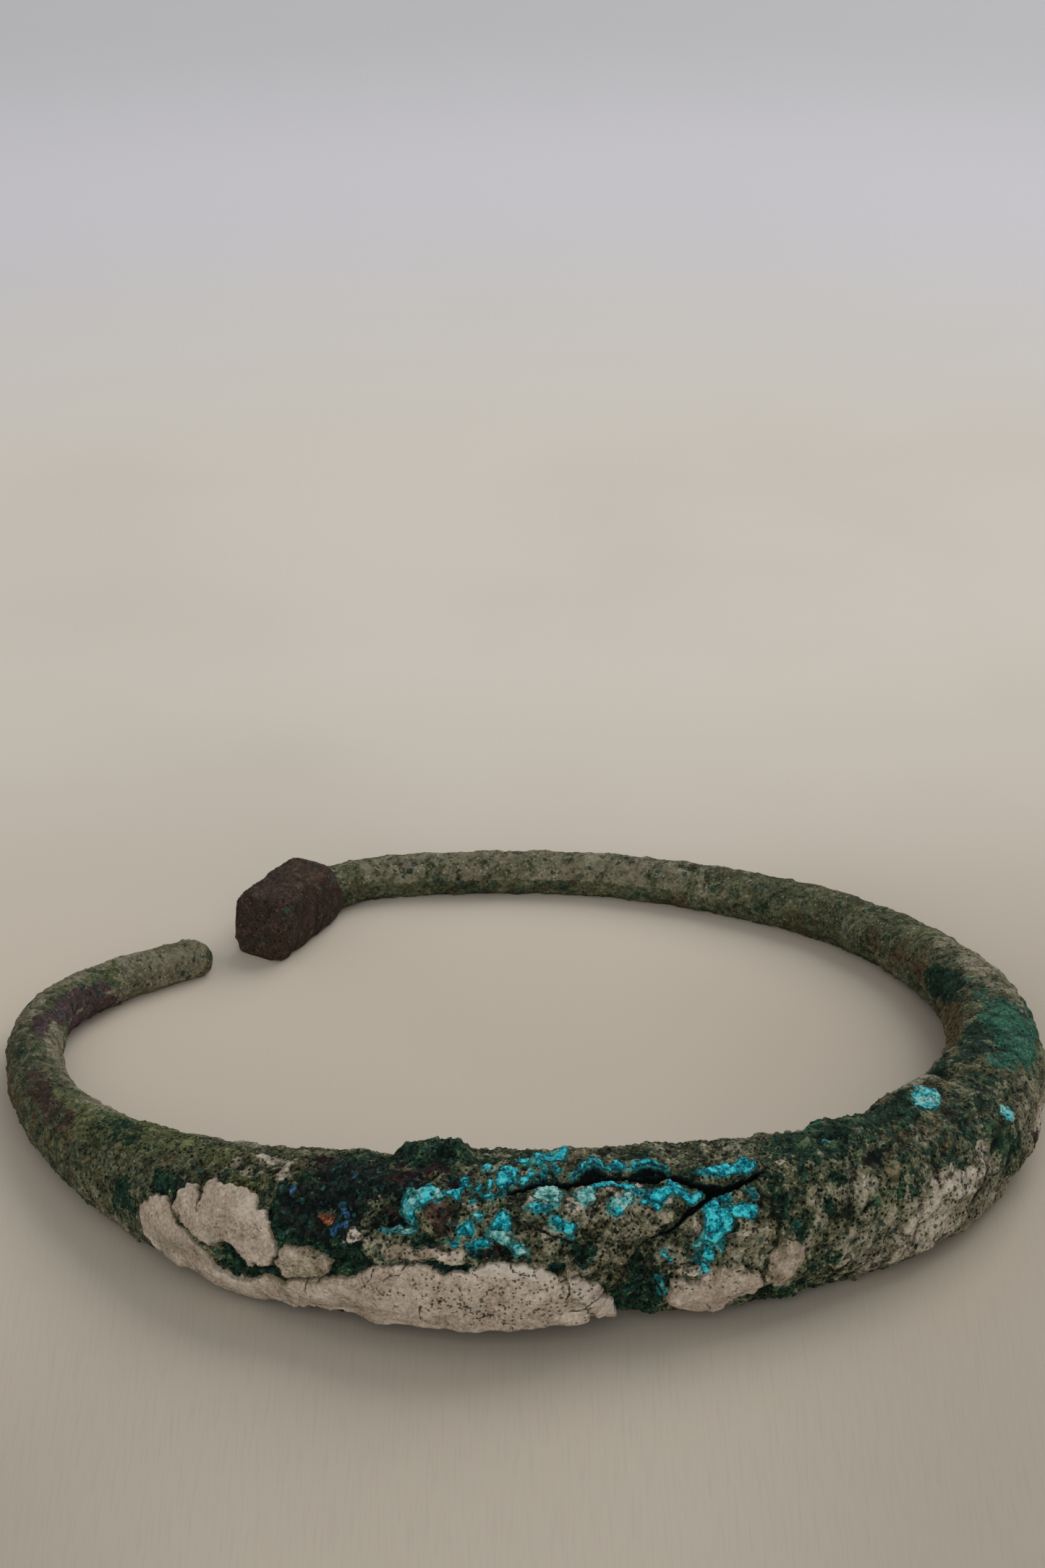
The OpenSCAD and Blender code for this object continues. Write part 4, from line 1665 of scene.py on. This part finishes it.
@dataclass(frozen=True)
class SaltFinish:
    """Turquoise copper salts, darker in the low spots as painted shade, and chalky on the high ones."""

    name: str = "copper_salts"
    bright: Shades = ((2, 36, 42), (4, 88, 100), (9, 152, 168), (80, 212, 220))
    chalky: Shades = ((22, 64, 60), (58, 132, 127), (104, 172, 167), (168, 204, 198))
    crust: Shades = ((20, 24, 15), (72, 68, 47), (122, 110, 86))
    rim: Rgb = (24, 52, 50)
    # Sizes in mm of the middle and the fine grain, of sand, of the chalky blotches, the specks
    # of crust and the pits
    mid_size: float = 0.75
    fine_size: float = 0.25
    sand_size: float = 0.18
    blotch_size: float = 0.9
    speck_size: float = 0.5
    pit_size: float = 0.26
    rough: float = 0.75
    gloss: float = 0.12

    def material(self) -> bpy.types.Material:
        """Mixes the salts' colours and grain.

        Returns:
            The material.
        """
        p = Paint(self.name, self.gloss)
        mid, fine = p.noise(self.mid_size, 3, 0.6, 2.0), p.noise(self.fine_size, 3, 0.65, 3.0)
        pale = p.value("pale")
        # The relief term darkens the low spots as painted shade and lightens the high ones as painted
        # light
        tone = 1.1 * mid + 0.72 * fine + 0.24 * p.speckle(self.sand_size) + 1.5 * p.value("relief")
        tone = tone.step(0.62, 1.36)
        p.colour = p.toned(self.bright, tone)
        blotchy = 1.6 * (p.noise(self.blotch_size, 3, 0.6, 9.0) - 0.5)
        p.lay((pale + blotchy).step(0.4, 0.7), p.toned(self.chalky, tone))
        specks = p.noise(self.speck_size, 4, 0.7, 6.0) - 0.04 * pale
        p.lay(specks.step(0.59, 0.65, 0.85), p.toned(self.crust, tone))
        p.lay(0.8 * p.value("depth").ragged(fine, 0.1, 0.11, 0.02), self.rim)
        # Pits darkened as painted shade
        pits = p.specks(self.pit_size, 0.2)
        p.lay(0.6 * pits, self.bright[0])
        return p.dress(self.rough, 0.14 * fine + 0.07 * mid - 0.08 * pits)


@dataclass(frozen=True)
class TableFinish:
    """Pale warm boards with a faint upright grain, cooler far from the ring, with painted shade towards
    the front and beside the ring.
    """

    name: str = "table"
    # Colour at each place from front to back, in mm, near the ring, darker towards the front as a painted
    # falloff of the light
    along: tuple[tuple[float, Rgb], ...] = (
        (-150.0, (177, 167, 151)), (-55.0, (189, 180, 165)), (15.0, (202, 192, 176)),
        (85.0, (219, 212, 201)), (150.0, (218, 213, 203)),
    )
    cloudy: Rgb = (176, 166, 150)
    cloud_size: float = 60.0
    far: tuple[Rgb, Rgb] = (213, 212, 218), (197, 197, 201)
    # Distances in mm from the ring's middle between which the table turns cool, then darker
    cool_reach: Place = (140.0, 226.0)
    far_reach: Place = (224.0, 290.0)
    # Painted shadow of the ring: places in mm between which the table turns darker to its right, less so
    # towards the back, and at the front to its left, and how much
    painted_shadow: Rgb = (120, 110, 96)
    right_reach: Place = (6.0, 34.0)
    back_reach: Place = (70.0, 10.0)
    left_reach: Place = (-16.0, -42.0)
    front_reach: Place = (-28.0, -56.0)
    right_shadow: float = 0.26
    left_shadow: float = 0.2
    # Places in mm from back to front between which the grain comes out, and how much
    grain_reach: Place = (10.0, -50.0)
    grain_share: float = 0.09
    grain_stretch: tuple[float, float, float] = (4.2, 0.14, 1.0)
    streak: Rgb = (120, 108, 92)
    rough: float = 0.6
    gloss: float = 0.2

    def material(self) -> bpy.types.Material:
        """Mixes the table's colours and grain.

        Returns:
            The material.
        """
        p = Paint(self.name, self.gloss)
        x, y = p.coordinate(0), p.coordinate(1)
        first, last = self.along[0][0], self.along[-1][0]
        stops = [((where - first) / (last - first), shade) for where, shade in self.along]
        # Painted falloff of the light: the table darkens towards the front
        p.colour = p.ramp((y - first) * (1 / (last - first)), stops)
        p.lay(p.noise(self.cloud_size, 3, 0.5, 1.0).step(0.42, 0.7, 0.16), self.cloudy)
        # Painted shadow of the ring on the table, to its right and at the front to its left
        right = x.step(*self.right_reach, self.right_shadow) * y.step(*self.back_reach)
        left = x.step(*self.left_reach, self.left_shadow) * y.step(*self.front_reach)
        p.lay(right + left, self.painted_shadow)
        length = p.node("ShaderNodeVectorMath", {0: p.place}, operation="LENGTH")
        away = Value(p, length.outputs["Value"])
        back = p.ramp(away.step(*self.far_reach), [(0.0, self.far[0]), (1.0, self.far[1])])
        p.lay(away.step(*self.cool_reach), back)
        grain = p.noise(1.0, 3, 0.6, 2.0, p.stretched(p.place, self.grain_stretch))
        p.lay(grain.step(0.45, 0.7) * y.step(*self.grain_reach, self.grain_share), self.streak)
        return p.dress(self.rough, 0.02 * grain, 0.5)


@dataclass(frozen=True)
class Table:
    """The pale surface that the ring lies on, seen as far as the eye reaches."""

    rings: tuple[float, ...] = (0.0, 0.12, 0.5, 1.5, 6.0)
    sides: int = 96

    def build(self) -> bpy.types.Object:
        """Makes a round flat sheet and gives it the table's finish.

        Returns:
            The sheet.
        """
        turn = np.linspace(0, 2 * math.pi, self.sides, endpoint=False)
        points = [(0.0, 0.0, 0.0)]
        for radius in self.rings[1:]:
            points += [(radius * math.cos(t), radius * math.sin(t), 0.0) for t in turn]
        faces = [[0, 1 + k, 1 + (k + 1) % self.sides] for k in range(self.sides)]
        for ring in range(len(self.rings) - 2):
            a, b = 1 + ring * self.sides, 1 + (ring + 1) * self.sides
            for k in range(self.sides):
                nxt = (k + 1) % self.sides
                faces.append([a + k, b + k, b + nxt, a + nxt])
        mesh = bpy.data.meshes.new("table")
        mesh.from_pydata(points, [], faces)
        sheet = bpy.data.objects.new("table", mesh)
        bpy.context.scene.collection.objects.link(sheet)
        mesh.materials.append(TableFinish().material())
        return sheet


@dataclass(frozen=True)
class Studio:
    """Camera and soft light, the stronger lamp behind and right, a weak one in front."""

    # The camera's place in mm, its turns in degrees, its lens in mm
    camera_at: tuple[float, float, float] = (-0.65, -383.69, 200.22)
    pitch: float = -24.3234
    yaw: float = 0.0862
    lens: float = 130.0
    sensor: float = 36.0
    # Nearest and farthest distance that it sees, and the lamps' places and sizes, in metres
    clip: Place = (0.01, 50.0)
    key_at: tuple[float, float, float] = (0.5, 0.6, 0.75)
    key_aim: tuple[float, float, float] = (0.0, 0.02, 0.0)
    key_size: float = 0.9
    key_watts: float = 6.3
    key_colour: tuple[float, float, float] = (1.0, 0.975, 0.94)
    fill_at: tuple[float, float, float] = (-0.1, -1.0, 0.36)
    fill_size: float = 1.0
    fill_watts: float = 6.4
    fill_colour: tuple[float, float, float] = (1.0, 0.98, 0.95)
    sky: tuple[float, float, float] = (0.97, 0.975, 1.0)
    sky_strength: float = 0.345

    def build(self) -> None:
        """Adds the camera, the key light and the even light all round."""
        scene = bpy.context.scene
        scene.view_settings.view_transform = "Standard"
        lens = bpy.data.cameras.new("camera")
        lens.lens = self.lens
        lens.sensor_width = self.sensor
        lens.clip_start, lens.clip_end = self.clip
        camera = bpy.data.objects.new("camera", lens)
        camera.location = Vector(self.camera_at) * MM
        camera.rotation_euler = (math.radians(90 + self.pitch), 0.0, -math.radians(self.yaw))
        scene.collection.objects.link(camera)
        scene.camera = camera
        self.lamp("key", self.key_at, self.key_aim, self.key_size, self.key_watts, self.key_colour)
        self.lamp("fill", self.fill_at, self.key_aim, self.fill_size, self.fill_watts, self.fill_colour)
        world = bpy.data.worlds.new("even_light")
        world.use_nodes = True
        back = world.node_tree.nodes["Background"]
        back.inputs["Color"].default_value = (*self.sky, 1.0)
        back.inputs["Strength"].default_value = self.sky_strength
        scene.world = world

    @staticmethod
    def lamp(name: str, place: Sequence[float], aim: Sequence[float], size: float, watts: float,
             colour: Sequence[float]) -> None:
        """Adds one square soft lamp.

        Args:
            name: Name of the lamp.
            place: Where it hangs, in metres.
            aim: The point that it faces.
            size: Length of its side in metres.
            watts: Its power.
            colour: Its colour.
        """
        light = bpy.data.lights.new(name, "AREA")
        light.shape = "SQUARE"
        light.size = size
        light.energy = watts
        light.color = colour
        holder = bpy.data.objects.new(name, light)
        holder.location = place
        holder.rotation_euler = (Vector(aim) - Vector(place)).to_track_quat("-Z", "Y").to_euler()
        bpy.context.scene.collection.objects.link(holder)


# Plates of lime crust, from the left to the right
LIME_PLATES = (
    Plate(
        "-23.2,1.6 -22.9,3 -22.4,3.7 -21.8,3.6 -21.35,2.9 -21.1,3.4 -21.1,4.2 -20.4,4.4 -19.7,4.2 "
        "-19.2,4.5 -18.2,4.5 -17.4,4.3 -16.9,3.5 -16.1,3 -15.6,2.3 -15.1,1.4 -15.1,0.2 -15.6,-0.2 "
        "-16.5,-0.3 -17.2,-0.4 -17.7,0.1 -18.5,0.45 -19.2,0.5 -19.9,0.2 -21.3,0.5 -22.3,0.8",
        0.42, 0.75,
    ),
    Plate(
        "-26.6,0.2 -26,1.4 -25,2 -24,1.9 -23.3,1.2 -22.3,0.6 -21.3,0.2 -20.3,-0.2 -19.8,-0.9 -19.5,-1.6 "
        "-18.8,-2.1 -17.7,-2.2 -16.8,-1.7 -16,-1.4 -15.2,-1.3 -15.2,-3.9 -18,-4.6 -20,-4.6 -22,-4.2 "
        "-24,-3.2 -25.6,-1.8 -26.4,-0.8",
        0.3, 0.6,
    ),
    Plate(
        "-14.9,1 -14.5,1.5 -13.9,1.3 -13.5,1 -13.1,1.4 -12.2,1.7 -11.6,1.4 -11,0.8 -11.2,0 -12,-0.4 "
        "-13,-0.55 -13.9,-0.75 -14.6,-0.65 -14.9,0",
        0.38, 0.42,
    ),
    # The large front plate
    Plate(
        "-15.25,-3.9 -15.2,-1.4 -14.6,-1.1 -13.9,-0.95 -12.5,-0.7 -11.6,-0.4 -10.8,-0.3 -10,-0.1 -9.3,0 "
        "-8.6,0.7 -8.1,0.9 -7.4,1.1 -6.2,1.3 -5.2,1.45 -4.6,1.1 -3.7,0.95 -2.8,1 -2.4,1.3 -1.3,1.6 "
        "-0.3,1.65 0.4,1.55 1.3,1.4 1.7,0.8 2.1,0.4 2.15,1.3 2.7,0.5 3.3,-0.1 3.7,-0.8 4.5,-1.6 5,-2.5 "
        "5.4,-3.9 4.5,-3.5 3.6,-2.9 3.4,-4.1 2.3,-4.4 0,-4.4 -2,-4.5 -2.7,-5.2 -3.9,-5.5 -5.5,-5.3 "
        "-6.8,-4.5 -8.9,-4 -10.5,-3.6 -12.7,-3.5",
        0.36, 0.78,
    ),
    # Its smooth upper strip
    Plate(
        "-2.6,1.05 -2.4,1.4 -1.3,1.65 -0.3,1.7 0.5,1.6 1.2,1.4 1.75,0.8 1.6,0.35 1,0.55 0.2,0.7 -0.8,0.85 "
        "-1.8,0.95",
        0.42, 0.93,
    ),
    # Its pale right end
    Plate(
        "2.15,1.1 2.7,0.5 3.3,-0.1 3.7,-0.8 4.5,-1.6 5,-2.5 5.3,-3.6 4.6,-3 3.9,-2.3 3.2,-1.6 2.6,-0.8 "
        "2.2,0.1",
        0.42, 0.92,
    ),
    # Sandy lumps above it
    Plate(
        "-7.3,1.5 -7.5,2.3 -6.8,2.7 -6,2.5 -5.8,2.2 -5,2.7 -4.2,2.4 -3.3,2.5 -2.6,2.2 -2.6,1.6 -3.3,1.5 "
        "-3.9,1.65 -4.8,1.8 -5.8,1.65 -6.3,1.75",
        0.22, 0.42,
    ),
    # Right of the mossy gap
    Plate(
        "10.1,-0.9 10.7,-0.7 11.3,-0.8 12.3,-0.6 12.8,0 13.3,0.1 14,-0.3 14.7,-0.55 15.5,-0.8 16.1,-1.4 "
        "16.1,-2 15.6,-2.5 14.9,-3 14.6,-3.6 13.8,-4.1 13,-4.3 12,-4.2 11,-3.9 10.5,-3.4 10.2,-2.4",
        0.45, 0.8,
    ),
    # Its darker upper edge
    Plate(
        "10.1,-1.2 10.7,-0.7 11.3,-0.8 12.3,-0.6 12.8,0 13.3,0.1 14,-0.3 14.7,-0.55 15.4,-0.8 15.3,-1 "
        "14.2,-0.8 12.9,-0.5 11.6,-1.1",
        0.45, 0.42,
    ),
    Plate(
        "16.4,-0.9 16.5,0 16.9,0.7 17.5,1.1 18.4,0.8 18.9,0.2 18.6,-0.7 18.1,-1.2 17.8,-1.8 17.7,-2.4 "
        "17.2,-2.8 16.7,-2.6 16.4,-1.8",
        0.28, 0.44,
    ),
)

# Patches of copper salts, from the left to the right
SALT_PLATES = (
    # Hooked plate with its tail
    Plate(
        "-6.95,5.9 -6.6,6.45 -5.9,6.75 -5.1,6.85 -4.6,6.5 -4.2,6.1 -4.6,5.9 -5.1,5.7 -5.55,5.25 -5.8,4.8 "
        "-5.9,4.3 -6,3.9 -6.4,4.2 -6.75,4.8 -7,5.4",
        0.42, 0.52,
    ),
    Plate(
        "-4.4,6.35 -3.9,6.8 -3.5,7.3 -3.45,8.2 -3.1,8.5 -2.9,8 -3,7.2 -3.3,6.8 -3.3,6.2 -3.7,6.2",
        0.2, 0.2,
    ),
    Plate("-7.8,3.6 -7,3.95 -6.2,3.9 -5.5,3.6 -5.8,3.35 -6.6,3.5 -7.4,3.4", 0.14, 0.7),
    Plate("-2.6,7 -2.4,7.7 -2.1,7.6 -2.2,6.9", 0.16, 0.2),
    Plate("-2,8.9 -2.2,9.4 -1.8,9.7 -1.6,9", 0.1, 0.6),
    Plate("-2,6.6 -1.8,7.1 -1.5,6.7 -1.1,6.9 -0.5,7 -1,6.5 -1.6,6.3", 0.16, 0.3),
    Plate("-1.9,7.3 -1.6,7.9 -1.3,7.7 -1.5,7.2", 0.14, 0.1),
    Plate("1.3,7.95 1.6,8.5 2.1,8.35 1.9,8.15", 0.12, 0.1),
    Plate("-2.9,5.9 -2.5,6.3 -2.2,6 -2.6,5.7", 0.12, 0.2),
    Plate("0.2,9.6 0.5,10.4 1,10.2 0.9,9.6", 0.14, 0.1),
    Plate("2.4,11.6 3,12.2 3.6,12 3.2,11.4", 0.12, 0.1),
    Plate("13.6,4.85 14,4.95 14.6,5.1 14.4,4.7 13.9,4.6", 0.14, 0.05),
    Plate("-1.2,7.6 -1.25,8.4 -0.7,8.75 -0.35,8.3 -0.35,7.5 -0.8,7.2", 0.2, 0.35),
    Plate("-1.2,8.9 -0.9,9.3 -0.3,9.4 0.1,9 0.1,8.4 0,7.8 -0.15,7.4 -0.3,8.1 -0.5,8.7", 0.2, 0.15),
    Plate("0.2,7.6 0.4,8.3 0.9,8.8 1.3,8.5 1,8 0.6,7.7", 0.16, 0.4),
    Plate(
        "1.2,9.4 1.5,10.2 1.4,11 2.2,11.4 2.9,10.8 3.6,11.3 4.4,12.3 4.9,12.4 4.5,11.2 3.8,10.2 2.8,10 "
        "2,10 1.6,9.3",
        0.22, 0.15,
    ),
    Plate("1.7,8.9 1.8,9.6 2.15,9.3 2,8.7", 0.14, 0.4),
    Plate("2.6,8.6 2.5,9.8 2.8,9.7 3,8.8", 0.14, 0.4),
    # Lower left of the flake
    Plate("-3.4,3.5 -3.3,4 -2.95,4.6 -2.7,4.5 -2.3,3.8 -2.4,3.4 -2.9,3.5", 0.2, 0.1),
    Plate("-3.7,2.85 -3.5,3.2 -3.25,3.1 -3.35,2.75", 0.12, 0.2),
    Plate("-2.7,2.9 -2.2,3.25 -1.6,3.3 -1.45,2.9 -2,2.5 -2.6,2.35", 0.2, 0.05),
    Plate("-1.35,4.1 -1.35,4.7 -1.2,5.15 -0.7,5.35 -0.35,4.9 -0.45,4.1", 0.24, 0),
    Plate("-1.6,3.7 -1.5,4.1 -0.5,4.1 -0.3,3.3 -0.6,2.9 -1.3,3.1", 0.18, 0.85),
    Plate("-0.4,2.3 -0.3,3 0.2,3.2 0.55,2.8 0.4,2.3 0,2.1", 0.16, 0.65),
    Plate("-2.5,5 -2.2,5.4 -1.9,5 -2.2,4.8", 0.1, 0.7),
    # On the flake
    Plate("1,6.7 1.3,7.3 1.8,7.75 2.3,7.4 2.4,6.6 2.2,5.9 2,5.5 1.6,5.9 1.2,6.1", 0.16, 0.8),
    Plate("0.5,5.4 0.8,5.8 1.3,5.6 1.8,5.4 1.6,5.1 0.9,5.1", 0.14, 0.4),
    Plate("1.7,4.7 1.95,4.75 2.4,4.3 2.75,3.9 2.6,3.4 2.2,3.6 1.75,4.1", 0.22, 0.2),
    Plate("3.4,5.6 3.8,6.2 4.2,6 3.8,5.4", 0.12, 0.7),
    Plate(
        "3.8,6.4 4.4,6.85 5.2,6.85 6.3,6.75 7,6.5 7.8,6.2 8.6,5.85 9.2,5.75 8.6,5.5 7.7,5.8 6.9,6.1 6,6.4 "
        "4.9,6.4",
        0.18, 0.2,
    ),
    Plate("4.7,4.5 4.7,5.1 5.3,5.4 6.4,5.3 7.6,5.4 7.9,5.1 7,4.9 6.2,4.6 5.7,4.2 5.1,4.1", 0.16, 0.75),
    Plate("5,4.3 5.1,4.8 5.9,4.9 5.8,4.3", 0.18, 0.1),
    Plate("2.9,5.5 3.2,6.5 3.7,6.9 4.4,6.4 4.1,5.5 3.6,5.2", 0.12, 0.95),
    Plate("6.2,5.5 6.7,6 7.6,5.9 8.1,5.5 7.3,5.3", 0.12, 0.85),
    Plate(
        "8.25,5 8.5,5.5 9.3,5.7 10,5.8 10.4,6.2 10.7,6.6 11.2,6.4 11.5,5.8 12.3,5.5 12.9,5.6 12.8,5.2 "
        "12.2,4.7 11.75,4.25 11.6,4.7 11.3,5.2 10.7,5.3 10.2,5.2 9.8,4.5 9.3,4.25 9,4.7",
        0.24, 0.1,
    ),
    # Above the long crack
    Plate(
        "3.2,8.1 3.9,8.55 4.7,8.8 5,9.15 5.7,9.2 6.1,8.9 6.2,8.5 6.8,8.6 7.3,8.75 8,8.6 7.7,8.25 7.2,8.05 "
        "6.5,7.85 6.2,7.95 5.7,8.35 5,8.5 4.3,8.3",
        0.24, 0.3,
    ),
    Plate(
        "8.1,8.2 8.5,8.6 9.3,8.8 10,8.55 10.7,8.1 10.9,7.7 10.7,7.45 10.2,7.85 9.5,8.1 9,8.05 8.5,7.9",
        0.24, 0.25,
    ),
    Plate(
        "12.5,7 13.3,7.3 14.3,7.4 15.3,7.2 16,7.4 16.6,7.2 16.7,6.7 16.3,6.3 15.5,6.25 14.7,6.35 14,6.3 "
        "13,6.7",
        0.22, 0.35,
    ),
    # Right of the branch
    Plate(
        "12.3,4.2 12.8,4.7 13.3,4.9 13.6,4.6 13.7,4.2 14.2,4 14.25,3.2 14.2,2.3 13.7,2.2 13.3,1.7 "
        "12.7,1.75 12.2,2 12.7,2.7 12.6,3.3",
        0.26, 0,
    ),
    Plate("14.25,4.5 14.7,4.2 15.5,4 16,3.3 15.5,3.1 14.8,3.1 14.3,3.3 14.2,4", 0.22, 0.15),
    Plate("15.75,5.3 16.1,5 16.25,4.5 15.9,4.25 15.85,4.8", 0.14, 0.2),
    Plate("11.7,1.7 12.1,2 12.4,1.6 12,1.3", 0.14, 0.6),
    Plate("12.3,1.4 12.6,1.55 13,1 12.9,0.5 12.6,0.4 12.25,0.8", 0.2, 0.1),
    Plate("11.7,0.8 12,0.9 12.3,0.4 12.8,0 12.7,-0.3 12.3,-0.3 12,0.1", 0.2, 0.15),
    Plate("13.3,1.7 13.55,1.7 13.7,1.2 13.5,1", 0.14, 0.1),
    Plate("10.1,0.7 10.1,1 10.45,0.95 10.4,0.65", 0.12, 0.1),
    Plate("9.6,1.15 9.65,1.45 9.95,1.4 9.9,1.1", 0.1, 0.6),
    Plate("9.25,-0.8 9.3,-0.4 9.6,-0.45 9.55,-0.8", 0.12, 0),
    Plate("9.6,-2 9.6,-1.6 9.95,-1.6 9.9,-2", 0.12, 0),
    # Soft patches on the right shoulder
    Plate("32.6,7.3 33.1,8.2 34,8.9 35.4,8.8 36,8 35.4,7.2 34.4,6.8 33.3,6.8", 0.12, 0.58),
    Plate("38.4,2.7 38.7,3.5 39.5,3.9 40.2,3.2 39.9,2.3 39.2,2.1", 0.1, 0.7),
    Plate("22.7,7.8 22.9,8.3 23.4,8.3 23.3,7.8", 0.12, 0.6),
)


def seat(piece: bpy.types.Object, finish: bpy.types.Material) -> None:
    """Dresses a piece and hangs it on the ring's one body.

    Args:
        piece: The piece.
        finish: Its material.
    """
    piece.data.materials.append(finish)
    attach(piece, "root")
    sides = sum(len(face.vertices) - 2 for face in piece.data.polygons)
    log.info("%s: %d triangles", piece.name, sides)


def main() -> None:
    """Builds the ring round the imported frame, and the table, light and camera."""
    logging.basicConfig(level=logging.INFO, format="%(name)s: %(message)s")
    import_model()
    form = HoopForm()
    skin = Skin(form)
    lime = LimeCrust(form=form, skin=skin, plates=LIME_PLATES)
    salts = CopperSalts(form=form, skin=skin, plates=SALT_PLATES)
    body = RingBody(form, skin, lime, salts)
    ring = body.build()
    seat(ring, PatinaFinish().material())
    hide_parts("hoop")
    seat(lime.build(), LimeFinish().material())
    seat(salts.build(), SaltFinish().material())
    Table().build()
    Studio().build()


if __name__ == "__main__":
    main()
